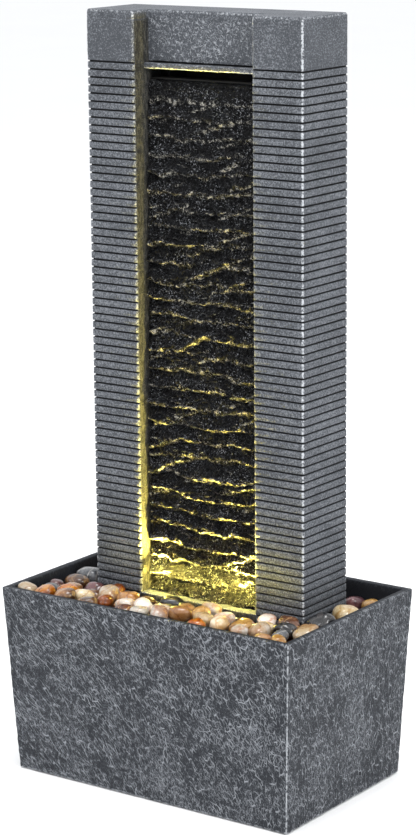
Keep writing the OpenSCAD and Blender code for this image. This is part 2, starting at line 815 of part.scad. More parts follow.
// The bed lies level with the tower's sill, is heaped towards the front and end rims and is
// lower behind the tower.
function bed_top(x, y) =
    let (
        forward = min(1, max(0, (tower_front - y) / (bed_d + tower_front))),
        outward = y < tower_back ? min(1, max(0, (abs(x) - half_t) / (bed_w - half_t))) : 0,
        behind = y > tower_back ? 1 : 0
    )
    basin_h - bed_drop + bed_heap * max(forward, outward * 0.8) - 5 * behind;

// The bed is four rectangles round the tower: [low x, low y, high x, high y]
bed_zones = [
    [-bed_w, -bed_d, bed_w, tower_front],
    [-bed_w, tower_back, bed_w, bed_d],
    [-bed_w, tower_front, -half_t, tower_back],
    [half_t, tower_front, bed_w, tower_back]
];

layer_h = 16;
least_room = 5.5;
lamp_inner = ear_gap + ear_t + 3;
lamp_outer = lead_x - lamp_x + 4;
lamp_room = [[-lamp_x - lamp_outer, -lamp_x + lamp_inner], [lamp_x - lamp_inner, lamp_x + lamp_outer]];
lamp_room_front = lamp_y - 13;

// How far a point is outside a box, along its better axis: [distance, direction towards it]
function room_to_box(p, x0, y0, x1, y1) =
    let (
        dx = max(x0 - p[0], p[0] - x1), dy = max(y0 - p[1], p[1] - y1),
        to = dx > dy ? [p[0] < x0 ? 1 : -1, 0, 0] : [0, p[1] < y0 ? 1 : -1, 0]
    )
    [max(dx, dy), to];

// Every fixed face near a stone's centre, as [distance, direction towards it]
function fixed_faces(p) = concat(
    [
        [half_w(p[2] - 9) - wall - p[0], [1, 0, 0]], [half_w(p[2] - 9) - wall + p[0], [-1, 0, 0]],
        [half_d(p[2] - 9) - wall - p[1], [0, 1, 0]], [half_d(p[2] - 9) - wall + p[1], [0, -1, 0]],
        [p[2] - tray_top, [0, 0, -1]],
        room_to_box(p, -half_t, tower_front, half_t, tower_back)
    ],
    [for (r = lamp_room) room_to_box(p, r[0], lamp_room_front, r[1], tower_front)]
);

// Stone centres: rows in each zone, layer under layer. Every other row is shifted by half a cell
// and has one stone fewer, and each stone is shaken by up to a sixth of its cell.
function stone_sites() = [
    for (zone_i = [0:3])
        let (
            q = bed_zones[zone_i],
            nx = max(1, floor((q[2] - q[0]) / pebble_cell_x + 0.4)),
            ny = max(1, floor((q[3] - q[1]) / pebble_cell_y + 0.4)),
            cell = [(q[2] - q[0]) / nx, (q[3] - q[1]) / ny]
        )
        for (m = [0:2], j = [0:ny - 1])
            let (shift = (j + m) % 2)
            for (i = [0:max(0, nx - 1 - shift)])
                let (
                    key = zone_i * 200 + j * 17 + i,
                    x = q[0] + cell[0] * (i + 0.5 + shift / 2 + 0.3 * (chance(key, m, i, 1) - 0.5)),
                    lean = ny > 1 ? (m % 2 - 0.5) * 0.3 : 0,
                    y = q[1] + cell[1] * (j + 0.5 + lean + 0.3 * (chance(key, m, i, 2) - 0.5)),
                    p = [x, y, bed_top(x, y) - 9 - m * layer_h + 5 * (chance(key, m, i, 3) - 0.5)]
                )
                if (min([for (f = fixed_faces(p)) f[0]]) > least_room)
                    [p, key * 3 + m]
];

// How far an ellipsoid with these semi-axes reaches along direction u
function reach(shape, axes, u) = norm([for (k = [0:2]) shape[k] * (axes[k] * u)]);

// Each stone gets its own proportions and tilt: [centre, turn, shape, axes, key]
function stones(sites) = [
    for (a = sites)
        let (
            key = a[1],
            turn = [
                30 * (chance(key, 1, 0, 4) - 0.5), 30 * (chance(key, 1, 0, 5) - 0.5), 360 * chance(key, 1, 0, 6)
            ],
            shape = [15.5, 12 + 2.5 * (chance(key, 2, 0, 7) - 0.5), 9.5 + 2 * (chance(key, 2, 0, 8) - 0.5)]
        )
        [a[0], turn, shape, [for (e = [[1, 0, 0], [0, 1, 0], [0, 0, 1]]) spin(e, turn)], key]
];

// The scale at which stone a first meets a fixed face
function wall_limit(a) = min([for (f = fixed_faces(a[0])) (f[0] - wall_gap) / reach(a[2], a[3], f[1])]);

// The stones near enough to stone i to touch it, as [index, gap between centres, both reaches]
function near_stones(all, i) = [
    for (j = [0:len(all) - 1])
        let (d = norm(all[j][0] - all[i][0]))
        if (j != i && d < 34)
            let (u = (all[j][0] - all[i][0]) / d)
            [j, d - stone_gap, reach(all[i][2], all[i][3], u), reach(all[j][2], all[j][3], u)]
];

// Neighbours first share the gap between them by their reach, then each pass gives a stone half
// of the slack that is left towards its tightest neighbour, so that no two ever overlap.
function first_scale(all, near) = [
    for (i = [0:len(all) - 1]) min(concat([1, wall_limit(all[i])], [for (n = near[i]) n[1] / (n[2] + n[3])]))
];
function grown(all, near, scales, passes) =
    passes == 0 ? scales :
    grown(all, near, [
        for (i = [0:len(all) - 1])
            min(concat(
                [1, wall_limit(all[i])],
                [for (n = near[i]) scales[i] + (n[1] - scales[i] * n[2] - scales[n[0]] * n[3]) / 2 / n[2]]
            ))
    ], passes - 1);

// rotate([x, y, z]) applied to a direction
function spin(v, t) =
    let (
        a = [v[0], v[1] * cos(t[0]) - v[2] * sin(t[0]), v[1] * sin(t[0]) + v[2] * cos(t[0])],
        b = [a[0] * cos(t[1]) + a[2] * sin(t[1]), a[1], -a[0] * sin(t[1]) + a[2] * cos(t[1])]
    )
    [b[0] * cos(t[2]) - b[1] * sin(t[2]), b[0] * sin(t[2]) + b[1] * cos(t[2]), b[2]];

// Share of the stones up to and including each colour, in the order of the modules below
stone_mix = [0.24, 0.38, 0.54, 0.66, 0.78, 0.86, 0.93, 1];

module pebbles(which) {
    all = stones(stone_sites());
    near = [for (i = [0:len(all) - 1]) near_stones(all, i)];
    scales = grown(all, near, first_scale(all, near), 4);
    low = which == 0 ? 0 : stone_mix[which - 1];
    for (i = [0:len(all) - 1])
        let (s = all[i], pick = chance(s[4], 5, 3, 9))
        if (pick >= low && pick < stone_mix[which] && scales[i] > least_scale)
            translate(s[0]) rotate(s[1]) scale(scales[i] * s[2]) sphere(r = 1, $fn = 32);
}

module pebbles_cream() { color("wheat") pebbles(0); }
module pebbles_white() { color("linen") pebbles(1); }
module pebbles_tan() { color("tan") pebbles(2); }
module pebbles_orange() { color("peru") pebbles(3); }
module pebbles_brown() { color("sienna") pebbles(4); }
module pebbles_plum() { color("rosybrown") pebbles(5); }
module pebbles_grey() { color("slategray") pebbles(6); }
module pebbles_black() { color("darkslategray") pebbles(7); }

// ---------------------------------------------------------------- the nodes

basin();
feet();
drain_plug();
tower_shell();
cascade_panel();
back_panel();
back_panel_screws();
access_hatch();
hatch_seal();
cable_grommet();
spill_trough();
trough_screws();
riser_hose();
hose_clamps();
pump_body();
pump_volute();
pump_suction_cups();
pump_shaft();
impeller();
intake_strainer();
flow_dial();
pump_cable_gland();
pebble_tray();
led_brackets();
led_bracket_screws();
led_housing(-1);  // led_housing_left
led_bezel(-1);  // led_bezel_left
led_lens(-1);  // led_lens_left
led_board(-1);  // led_board_left
led_housing(1);  // led_housing_right
led_bezel(1);  // led_bezel_right
led_lens(1);  // led_lens_right
led_board(1);  // led_board_right
led_leads();
led_connectors();
pebbles_cream();
pebbles_white();
pebbles_tan();
pebbles_orange();
pebbles_brown();
pebbles_plum();
pebbles_grey();
pebbles_black();
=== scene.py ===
"""A cascading fountain: a ribbed resin tower round a wet split-stone wall, standing in a tapered
slate-textured trough of polished pebbles, with two warm lamps low in front of the wall.

Metres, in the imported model's frame: +Z up, the front faces -Y.
"""
import math

import bpy
import numpy as np
from mathutils import Matrix, Vector


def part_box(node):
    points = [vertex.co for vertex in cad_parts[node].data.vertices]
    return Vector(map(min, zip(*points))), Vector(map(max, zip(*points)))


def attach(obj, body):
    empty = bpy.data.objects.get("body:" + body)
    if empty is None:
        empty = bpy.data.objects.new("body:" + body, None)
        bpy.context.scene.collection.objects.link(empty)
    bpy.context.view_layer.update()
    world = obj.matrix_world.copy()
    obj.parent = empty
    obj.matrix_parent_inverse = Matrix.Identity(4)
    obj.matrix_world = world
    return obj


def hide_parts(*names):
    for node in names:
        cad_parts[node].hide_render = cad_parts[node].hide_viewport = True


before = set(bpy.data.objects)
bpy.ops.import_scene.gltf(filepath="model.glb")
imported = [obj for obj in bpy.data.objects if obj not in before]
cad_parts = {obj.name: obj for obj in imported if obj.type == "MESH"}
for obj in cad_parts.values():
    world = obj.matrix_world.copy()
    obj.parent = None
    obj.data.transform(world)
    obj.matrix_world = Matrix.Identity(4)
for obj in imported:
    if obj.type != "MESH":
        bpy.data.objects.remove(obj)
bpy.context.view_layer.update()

# ---------------------------------------------------------------- sizes, in metres

SHELL = 0.008            # thickness of the tower's shell
COVER = 0.005            # depth of the rebate that the back panel lies in
FLANGE = 0.010           # the flange that the back panel is screwed to
FLANGE_T = 0.006
SETBACK = 0.027          # the cap's face stands back this far between the pillars
CAP_HEIGHT = 0.0545
GROOVE_PITCH = 0.0086
GROOVE_WIDTH = 0.0018
GROOVE_DEPTH = 0.0022
LIP = 0.008              # the ledge under the cap's face
LIP_HEIGHT = 0.006
LIP_R = 0.0019           # radius of its lower edge, which the lamps catch
SILL_DROP = 0.013        # from the basin's rim down to the sill
SILL_T = 0.008
RAIL_T = 0.006           # the rail that the stone wall rests against
EDGE_R = 0.0028          # radius of the tower's worn edges
TOP_R = 0.0038           # radius round the top of the cap
SHARP = 0.0003           # radius of an edge that nothing rubs
SKIN_STEP = 0.0028       # between points along an edge whose bumps show
BARE = 1.0               # a step longer than any edge: no points between its corners
WIDE_BUMP = 0.00022      # how far the cast skin stands off true, over 9 mm
FINE_BUMP = 0.00012      # and over 3 mm
DARKENING_FADE = 0.012           # the cheeks' darkening fades out over this height below the top
CHEEK_RUB = 0.62         # the corners beside the water are rubbed less than the outer ones
BASIN_WALL = 0.009
BASIN_FLOOR = 0.010
BASIN_EDGE_R = 0.0016    # radius round the basin's rim and foot
BASIN_CORNER_R = 0.002   # radius of its upright corners
BORE = 0.008             # radius of the drain's bore
BOSS = 0.015             # radius of the raised ring round it
BOSS_PROUD = 0.0025
BOSS_BEVEL = 0.0005

basin_low, basin_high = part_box("basin")
tower_low, tower_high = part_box("tower_shell")
panel_low, panel_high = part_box("cascade_panel")

FRONT, BACK = tower_low[1], tower_high[1]
HALF_TOWER = tower_high[0]
TOP = tower_high[2]
FOOT = tower_low[2]
HALF_RECESS = panel_high[0] + 0.0005
HEADER_Y = FRONT + SETBACK
RAIL_Y = panel_high[1] + 0.0002
RIM = basin_high[2]
SILL = RIM - SILL_DROP
PILLAR_TOP = TOP - SHELL - 0.001
GROOVE_TOP = TOP - CAP_HEIGHT
LINTEL = GROOVE_TOP - GROOVE_WIDTH - LIP_HEIGHT


# ---------------------------------------------------------------- numbers that vary over a surface

def chance(i, j, k, seed):
    """A repeatable number from 0 to 1 for whole-number coordinates: a hash of all four."""
    h = (i.astype(np.int64) * 73856093) ^ (j.astype(np.int64) * 19349663)
    h = (h ^ (k.astype(np.int64) * 83492791) ^ (seed * 265443576)) & 0xFFFFFFFF
    h = ((h ^ (h >> 13)) * 1274126177) & 0xFFFFFFFF
    h ^= h >> 16
    return h / 0xFFFFFFFF


def noise(p, seed=0):
    """Smooth value noise from -1 to 1 at points p (..., 3): the hash at the eight whole-number
    corners round each point, mixed by 3t^2 - 2t^3 along each axis."""
    low = np.floor(p)
    t = p - low
    t = t * t * (3 - 2 * t)
    total = 0
    for corner in np.ndindex(2, 2, 2):
        c = np.array(corner)
        weight = np.prod(np.where(c, t, 1 - t), axis=-1)
        q = low + c
        total = total + weight * chance(q[..., 0], q[..., 1], q[..., 2], seed)
    return 2 * total - 1


def fractal(p, octaves, seed=0):
    """Noise added to itself at twice the frequency and half the height, octaves times."""
    return sum(noise(p * 2 ** k, seed + k) * 0.5 ** k for k in range(octaves))


def along(*parts):
    """Stacks coordinates that share a shape into points (..., 3)."""
    return np.stack(np.broadcast_arrays(*parts), axis=-1)


# ---------------------------------------------------------------- meshes from grids

def put_in_scene(name, data):
    """A new object at the origin."""
    obj = bpy.data.objects.new(name, data)
    bpy.context.scene.collection.objects.link(obj)
    return obj


def mesh_points(mesh):
    """Where the vertices of a mesh are, (count, 3)."""
    v = np.empty(len(mesh.vertices) * 3, dtype=np.float32)
    mesh.vertices.foreach_get("co", v)
    return v.reshape(-1, 3)


def vertex_of_corners(mesh):
    """The number of the vertex at each corner of each face, face by face."""
    corner = np.empty(len(mesh.loops), dtype=np.int32)
    mesh.loops.foreach_get("vertex_index", corner)
    return corner


def grid_faces(rows, columns, first=0):
    """Quads between neighbouring points of a grid whose columns close into a ring."""
    r = np.arange(rows - 1)[:, None] * columns
    c = np.arange(columns)[None, :]
    d = (c + 1) % columns
    return first + np.stack([r + c, r + d, r + columns + d, r + columns + c], axis=-1).reshape(-1, 4)


class Surface:
    """Collects rings carried along a path, closed at both ends, with values stored at each point."""

    def __init__(self):
        self.points, self.faces, self.smooth = [], [], []
        self.values = {}
        self.count = 0

    def add(self, rings, values=None):
        """rings is (rows, columns, 3); values maps a name to an array (rows, columns) or
        (rows, columns, 2) for a map. The end rings are closed with one flat face each."""
        rows, columns = rings.shape[:2]
        self.points.append(rings.reshape(-1, 3))
        quads = grid_faces(rows, columns, self.count)
        first = self.count + np.arange(columns)
        last = first + (rows - 1) * columns
        self.faces += quads.tolist() + [first[::-1].tolist(), last.tolist()]
        self.smooth += [True] * len(quads) + [False, False]
        for name, v in (values or {}).items():
            shape = (rows * columns,) + v.shape[2:]
            self.values.setdefault(name, []).append(np.ascontiguousarray(v).reshape(shape))
        self.count += rows * columns

    def build(self, name):
        """The object, with its numbers as point attributes and its maps as UV maps."""
        mesh = bpy.data.meshes.new(name)
        mesh.from_pydata(np.concatenate(self.points), [], self.faces)
        mesh.polygons.foreach_set("use_smooth", self.smooth)
        corner = vertex_of_corners(mesh)
        for key, parts in self.values.items():
            v = np.concatenate(parts)
            if v.ndim == 2:
                layer = mesh.uv_layers.new(name=key)
                layer.data.foreach_set("uv", v[corner].astype(np.float32).ravel())
            else:
                a = mesh.attributes.new(key, "FLOAT", "POINT")
                a.data.foreach_set("value", v.astype(np.float32))
        mesh.update()
        return put_in_scene(name, mesh)


def build(name, *parts):
    """One piece from one or more sets of rings, each with its values."""
    surface = Surface()
    for part in parts:
        surface.add(*part)
    return surface.build(name)


def outline(corners, radii, steps, arcs=None, guard=0.0004):
    """A closed outline in plan with square corners, run anticlockwise: points, outward normals and
    how worn each point is, which is (sin 2t)^0.7 round a convex corner. A corner of radius r is the
    arc centre + r (n1 cos t + n2 sin t) between the normals of its two edges, and a hollow one is
    the same arc seen from outside. steps is how far apart the points are on the edge that follows
    each corner, arcs is how many points each corner has, and guard is how close to a corner an
    edge's first and last points are."""
    corners = np.array(corners, dtype=float)
    arcs = arcs or [6 if r >= EDGE_R / 2 else 2 for r in radii]
    ahead = np.roll(corners, -1, axis=0) - corners
    ahead /= np.linalg.norm(ahead, axis=1, keepdims=True)
    behind = np.roll(ahead, 1, axis=0)
    points, normals, worn = [], [], []
    for i, (a, b, r, count) in enumerate(zip(behind, ahead, radii, arcs)):
        n1, n2 = np.array([a[1], -a[0]]), np.array([b[1], -b[0]])
        bulge = 1 if a[0] * b[1] - a[1] * b[0] > 0 else -1
        t = np.linspace(0, math.pi / 2, count)[:, None]
        arc = n1 * np.cos(t) + n2 * np.sin(t)
        points.append(corners[i] + bulge * r * (arc - n1 - n2))
        normals.append(arc)
        rub = np.sin(2 * t[:, 0]).clip(0) ** 0.7
        worn.append(rub if bulge > 0 and count > 2 else 0 * rub)
        following = (i + 1) % len(corners)
        start, end = points[-1][-1], corners[following] - b * radii[following]
        length = np.linalg.norm(end - start)
        cuts = max(1, round(length / steps[i]))
        near = [guard / length] if length > 4 * guard else []
        f = np.array(near + [k / cuts for k in range(1, cuts)] + [1 - n for n in near])[:, None]
        points.append(start + f * (end - start))
        normals.append(np.repeat(n2[None], len(f), axis=0))
        worn.append(np.zeros(len(f)))
    return np.concatenate(points), np.concatenate(normals), np.concatenate(worn)


def mirrored(rings):
    """The same rings on the other side of the middle, turned round so that they still face out."""
    out = rings[:, ::-1].copy()
    out[..., 0] *= -1
    return out


# ---------------------------------------------------------------- tower

def cast_bumps(points):
    """Resin that was cast in a brushed mould isn't quite flat: noise of 9 mm and 3 mm period."""
    return WIDE_BUMP * noise(points / 0.009, 3) + FINE_BUMP * noise(points / 0.003, 4)


def cast_skin(points, normals, height):
    """Each point moved along its normal, which is level, by the bumps times height."""
    bumps = height * cast_bumps(points)
    return points + along(normals[..., 0], normals[..., 1], 0.0) * bumps[..., None]


def groove_rows():
    """Heights up a pillar and how deep in a groove each lies, from 0 to 1: each groove is a trench
    with edges rounded over half a millimetre, and the lowest is down among the stones."""
    wall, ease, among_stones = 0.0001, 0.0006, 0.040
    shape = [
        (-ease, 0), (-wall, 0.1), (wall, 1),
        (GROOVE_WIDTH - wall, 1), (GROOVE_WIDTH + wall, 0.1), (GROOVE_WIDTH + ease, 0),
    ]
    count = int((GROOVE_TOP - SILL + among_stones) / GROOVE_PITCH)
    base = [GROOVE_TOP - GROOVE_WIDTH - i * GROOVE_PITCH for i in range(count)][::-1]
    low = [(FOOT, 0), (base[0] - 0.020, 0)]
    trench = [(z + dz, depth) for z in base for dz, depth in shape]
    plain = [(z, 0) for z in np.linspace(GROOVE_TOP + 0.004, PILLAR_TOP, 16)]
    rows = np.array(low + trench + plain)
    return rows[:, 0], rows[:, 1]


def cheek_darkened(plan, z):
    """1 on the cheeks beside the water, less and less over the last stretch below the top."""
    x, y = np.abs(plan[:, 0]), plan[:, 1]
    cheek = (np.abs(x - HALF_RECESS) < 0.0006) & (y > FRONT + EDGE_R * 0.9)
    fading = np.clip((TOP - z) / DARKENING_FADE, 0, 1)
    return cheek[None] * fading[:, None]


def pillar_rings():
    """The right-hand side of the shell: a channel in plan, of outer wall, ribbed front and the cheek
    beside the water, carried up and pressed in by the grooves along the front and the outer end."""
    x, y = HALF_TOWER - SHELL, BACK - COVER
    corners = [
        (HALF_RECESS, FRONT), (HALF_TOWER, FRONT), (HALF_TOWER, BACK), (x, BACK), (x, y),
        (x - FLANGE, y), (x - FLANGE, y - FLANGE_T), (x, y - FLANGE_T), (x, FRONT + SHELL),
        (HALF_RECESS + SHELL, FRONT + SHELL), (HALF_RECESS + SHELL, RAIL_Y + RAIL_T),
        (HALF_RECESS, RAIL_Y + RAIL_T),
    ]
    radii = [EDGE_R] * 3 + [SHARP] * 9
    steps = [SKIN_STEP] * 2 + [BARE] * 9 + [SKIN_STEP]
    plan, normals, worn = outline(corners, radii, steps)
    z, depth = groove_rows()
    facing = np.stack([-np.maximum(normals[:, 0], 0), np.maximum(-normals[:, 1], 0)], axis=1)
    outside = ((plan[:, 1] < FRONT + EDGE_R) | (plan[:, 0] > HALF_TOWER - EDGE_R)).astype(float)
    shift = facing * outside[:, None] * GROOVE_DEPTH
    xy = plan[None] + depth[:, None, None] * shift[None]
    rings = along(xy[..., 0], xy[..., 1], z[:, None])
    n = np.broadcast_to(normals[None], xy.shape)
    height = 1 - depth * 0.8
    height[[0, -1]] = 0
    rings = cast_skin(rings, n, height[:, None])
    cut = np.linalg.norm(shift, axis=1) / GROOVE_DEPTH
    cheek = (plan[:, 0] < HALF_RECESS + 0.0002) & (plan[:, 1] > FRONT + EDGE_R)
    # painted shade: the cheek behind the header's face, where shade falls, is painted dark with the
    # grooves
    behind = np.clip((plan[:, 1] - HEADER_Y) / 0.006, 0, 1) * cheek
    rub = worn * np.where(plan[:, 0] < HALF_RECESS + EDGE_R, CHEEK_RUB, 1.0)
    values = {
        "worn": rub[None] * (1 - depth[:, None]),
        # painted shade: near black in the grooves and on the cheek behind the header's face
        "groove": np.maximum(depth[:, None] * np.minimum(1, cut)[None], 0.9 * behind[None]),
        "damp": cheek_darkened(plan, z),
        "dusted": np.broadcast_to(0.5 * (z < GROOVE_TOP)[:, None], rings.shape[:2]),
    }
    return rings, values


def cap_rings():
    """The slab over the whole tower, notched between the pillars, with its top edge rounded by
    drawing each ring in by r (1 - cos t) as it rises by r sin t. Its lowest ring is tucked in behind
    the tops of the pillars."""
    corners = [
        (-HALF_TOWER, FRONT), (-HALF_RECESS, FRONT), (-HALF_RECESS, HEADER_Y), (HALF_RECESS, HEADER_Y),
        (HALF_RECESS, FRONT), (HALF_TOWER, FRONT), (HALF_TOWER, BACK), (-HALF_TOWER, BACK),
    ]
    plan, normals, worn = outline(corners, [EDGE_R] * 8, [SKIN_STEP] * 8)
    t = np.linspace(0, math.pi / 2, 7)
    tuck = 0.0002
    low = np.linspace(PILLAR_TOP + tuck / 2, TOP - TOP_R, 4)[:-1]
    z = np.concatenate([[PILLAR_TOP - tuck], low, TOP - TOP_R * (1 - np.sin(t))])
    inset = np.concatenate([[tuck], np.zeros(len(low)), EDGE_R * 0.96 * (1 - np.cos(t))])
    xy = plan[None] - inset[:, None, None] * normals[None]
    rings = along(xy[..., 0], xy[..., 1], z[:, None])
    rounding = np.clip((z - TOP + TOP_R) / TOP_R, 0, 1)[:, None]
    height = 1 - rounding
    height[:2] = 0
    rings = cast_skin(rings, np.broadcast_to(normals[None], xy.shape), height)
    top_rub = 0.55 * np.sin(rounding * math.pi) ** 0.7
    edge = np.maximum(top_rub, worn[None] * np.cos(rounding * math.pi / 2))
    plain = np.zeros(edge.shape)
    on_top = 0.5 * (plain + (rounding > 0.9))
    damp = cheek_darkened(plan, z) * (plan[:, 1] < HEADER_Y - EDGE_R)[None]
    return rings, {"worn": edge, "groove": plain, "damp": damp, "dusted": on_top}


def across_recess(profile, rub):
    """A profile of (y, z, radius) corners carried across the recess from cheek to cheek, and a
    little way into each. rub is how worn the lowest rounded corner is, and the others have a third of
    that. On the header that corner is the lip's lower edge, which the lamps catch, and its pale rub
    is also a painted highlight."""
    step, into_cheek, hair = 0.003, 0.002, 0.0001
    corners = [c[:2] for c in profile]
    points, normals, worn = outline(corners, [c[2] for c in profile], [step] * len(profile))
    end = HALF_RECESS + into_cheek
    x = np.linspace(-end, end, int(2 * HALF_RECESS / step))[:, None]
    rings = along(x, points[None, :, 0], points[None, :, 1])
    bumps = cast_bumps(rings)
    bumps[[0, -1]] = 0
    rings = rings + along(0.0, normals[:, 0], normals[:, 1]) * bumps[..., None]
    lowest = points[:, 1] < LINTEL + EDGE_R
    # painted shade: the groove in the header's face is painted near black
    in_groove = (points[:, 0] > HEADER_Y + hair) & (points[:, 0] < HEADER_Y + SHELL / 2)
    slot = in_groove & (points[:, 1] > LINTEL + LIP_HEIGHT - 5 * hair)
    shape = rings.shape[:2]
    return rings, {
        "worn": np.broadcast_to(worn * np.where(lowest, rub, rub / 3), shape),
        "groove": np.broadcast_to(slot.astype(float), shape),
        "damp": np.broadcast_to((points[:, 1] < SILL - EDGE_R / 2).astype(float), shape),
        "dusted": np.broadcast_to((points[:, 1] > LINTEL - 0.001).astype(float), shape),
    }


def make_tower():
    """The shell in four pieces that stand for one: both sides, the cap and what spans the recess."""
    rings, values = pillar_rings()
    mirrored_values = {k: v[:, ::-1] for k, v in values.items()}
    inner, into_cap = HEADER_Y + SHELL, TOP - SHELL + 0.001
    groove_back, groove_low = HEADER_Y + GROOVE_DEPTH, GROOVE_TOP - GROOVE_WIDTH
    header = [
        (HEADER_Y, into_cap, SHARP), (HEADER_Y, GROOVE_TOP, SHARP),
        (groove_back, GROOVE_TOP, SHARP), (groove_back, groove_low, SHARP),
        (HEADER_Y - LIP, groove_low, EDGE_R / 2), (HEADER_Y - LIP, LINTEL, LIP_R),
        (inner, LINTEL, SHARP), (inner, into_cap, SHARP),
    ]
    plinth_in, sill_in = FRONT + SHELL, RAIL_Y + RAIL_T
    plinth = [
        (FRONT, SILL, EDGE_R / 2), (FRONT, FOOT, SHARP), (plinth_in, FOOT, SHARP),
        (plinth_in, SILL - SILL_T, SHARP), (sill_in, SILL - SILL_T, SHARP), (sill_in, SILL, SHARP),
    ]
    return [
        build("tower_side_right", (rings, values)),
        build("tower_side_left", (mirrored(rings), mirrored_values)),
        build("tower_cap", cap_rings()),
        # The header's rub of 1.0 lands on the lip's lower edge, which the lamps catch: pale wear there
        # that is also a painted highlight.
        build("tower_header_and_sill", across_recess(header, 1.0), across_recess(plinth, 0.6)),
    ]


# ---------------------------------------------------------------- basin

def basin_half(z):
    """Half the basin's outer width and depth at height z: straight lines between rim and foot,
    taken from the CAD basin's own corners."""
    v = mesh_points(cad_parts["basin"].data)
    nearly = 0.0005
    foot = np.abs(v[v[:, 2] < basin_low[2] + nearly]).max(axis=0)
    rim = np.abs(v[v[:, 2] > RIM - nearly]).max(axis=0)
    f = ((z - basin_low[2]) / (RIM - basin_low[2]))[:, None]
    return foot[:2] + f * (rim[:2] - foot[:2])


def basin_profile():
    """Rows of (inset, height, worn, inner) over the basin's section: under the edge, up the outside,
    over the rim and down the inside. An edge of radius r is inset by r (1 - sin a) or r (1 - cos a)."""
    r, wall, foot = BASIN_EDGE_R, BASIN_WALL, basin_low[2]
    outside, inside = 112, 30
    t = np.linspace(0, math.pi / 2, 5)
    rows = [(r * (1 - math.sin(a)), foot + r * (1 - math.cos(a)), 0.6, 0) for a in t]
    rows += [(0, z, 0, 0) for z in np.linspace(foot + r, RIM - r, outside)[1:-1]]
    rows += [(r * (1 - math.cos(a)), RIM - r * (1 - math.sin(a)), 0.30, 0) for a in t]
    rows += [(wall * 0.5, RIM, 0, 0.6)]
    rows += [(wall - r * (1 - math.sin(a)), RIM - r * (1 - math.cos(a)), 0.20, 0.8) for a in t]
    rows += [(wall, z, 0, 1) for z in np.linspace(RIM - r, foot + BASIN_FLOOR, inside)[1:]]
    return np.array(rows)


def make_basin():
    """A four-cornered ring carried over the section: each point is corner share times half size, so
    the walls lean as the half sizes change with height. The outside is pressed by long slanting
    streaks, as slate splits, which run more upright towards the front's right-hand end."""
    corners = [(1, 1), (-1, 1), (-1, -1), (1, -1)]
    steps = [2 / cuts for cuts in (60, 112, 180, 116)]
    unit, normals, worn = outline(corners, [0.0] * 4, steps, [6] * 4, 0.004)
    rows = basin_profile()
    inset, z = rows[:, 0], rows[:, 1]
    half = basin_half(z) - inset[:, None]
    corner_r = np.clip(BASIN_CORNER_R - inset, SHARP, BASIN_CORNER_R)[:, None, None]
    share = unit / np.abs(unit).max(axis=1, keepdims=True)
    xy = share[None] * (half[:, None, :] - corner_r) + normals[None] * corner_r
    rings = along(xy[..., 0], xy[..., 1], z[:, None])
    half_way_up = rings[60]
    strides = np.linalg.norm(np.diff(half_way_up, axis=0), axis=1)
    length = np.broadcast_to(np.concatenate([[0], np.cumsum(strides)]), rings.shape[:2])
    front_start = 2 * basin_high[0] + 2 * basin_high[1]
    lean = 0.75 - 0.55 * np.clip((length - front_start) / (2 * basin_high[0]), 0, 1)
    wander = 0.006 * noise(along(length / 0.05, rings[..., 2] / 0.07, 0.5), 9)
    across = length + lean * rings[..., 2] + wander
    streak = fractal(along(across / 0.0045, rings[..., 2] / 0.022, 3.0), 3, 21)
    patch = noise(along(length / 0.06, rings[..., 2] / 0.05, 1.5), 5)
    outer = 1 - np.clip(rows[:, 3], 0, 1)[:, None]
    press = np.minimum(0.00028 * streak + 0.0003 * patch - 0.0004, -0.00004) * outer
    rings = rings + along(normals[:, 0], normals[:, 1], 0.0) * press[..., None]
    edge = np.maximum(rows[:, 2][:, None], 0.85 * worn[None] * outer)
    return bored(build("basin_shell", (rings, {
        "worn": edge,
        "inner": np.broadcast_to(rows[:, 3][:, None], edge.shape),
        "slate": np.stack([across, rings[..., 2]], axis=-1),
    })))


def drain_place():
    """Centre of the drain bore in x and z, and y of the back wall's outside there."""
    low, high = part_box("drain_plug")
    x, z = (low[0] + high[0]) / 2, (low[2] + high[2]) / 2
    return x, z, basin_half(np.array([z]))[0, 1]


def bored(basin):
    """The basin with the drain bored through its back wall."""
    x, z, wall_y = drain_place()
    t = np.linspace(0, 2 * math.pi, 48, endpoint=False)[None]
    y = np.array([wall_y - 2 * BASIN_WALL, wall_y + BASIN_WALL])[:, None]
    cutter = build("drill", (along(x + BORE * np.cos(t), y, z - BORE * np.sin(t)),))
    cut = basin.modifiers.new("bore", "BOOLEAN")
    cut.object = cutter
    cut.solver = "EXACT"
    solid = bpy.data.meshes.new_from_object(basin.evaluated_get(bpy.context.evaluated_depsgraph_get()))
    basin.modifiers.clear()
    basin.data = solid
    bpy.data.objects.remove(cutter)
    return basin


def make_drain_boss():
    """The raised ring that lines the drain bore: a rectangular section, its outer edge bevelled,
    turned about Y as (x, z) = centre + r (cos t, sin t)."""
    x, z, wall_y = drain_place()
    inner_y, outer_y = wall_y - BASIN_WALL, wall_y + BOSS_PROUD
    section = np.array([
        (BORE, inner_y), (BOSS, inner_y), (BOSS, outer_y - BOSS_BEVEL), (BOSS - BOSS_BEVEL, outer_y),
        (BORE + BOSS_BEVEL, outer_y), (BORE, outer_y - BOSS_BEVEL), (BORE, inner_y),
    ])
    t = np.linspace(0, 2 * math.pi, 64, endpoint=False)[None]
    r = section[:, :1]
    rings = along(x + r * np.cos(t), section[:, 1:], z + r * np.sin(t))[:-1]
    rows, columns = rings.shape[:2]
    mesh = bpy.data.meshes.new("drain_boss")
    faces = grid_faces(rows + 1, columns) % (rows * columns)
    mesh.from_pydata(rings.reshape(-1, 3), [], faces.tolist())
    return put_in_scene("drain_boss", mesh)


# ---------------------------------------------------------------- water wall

COURSE = 0.0195          # nominal height of one stone course
UNDERSIDE = 0.22         # share of a course that slants out below its lip
UNDER_LINTEL = 0.20      # the courses stand out less and less over this height at the top
BROW = 0.009             # radius round the top of the wall, where the water comes over it
WALL_GRID = 0.00096      # between the points of the wall's face
WALL_LEAN = 0.007        # the wall's foot stands this far in front of its top


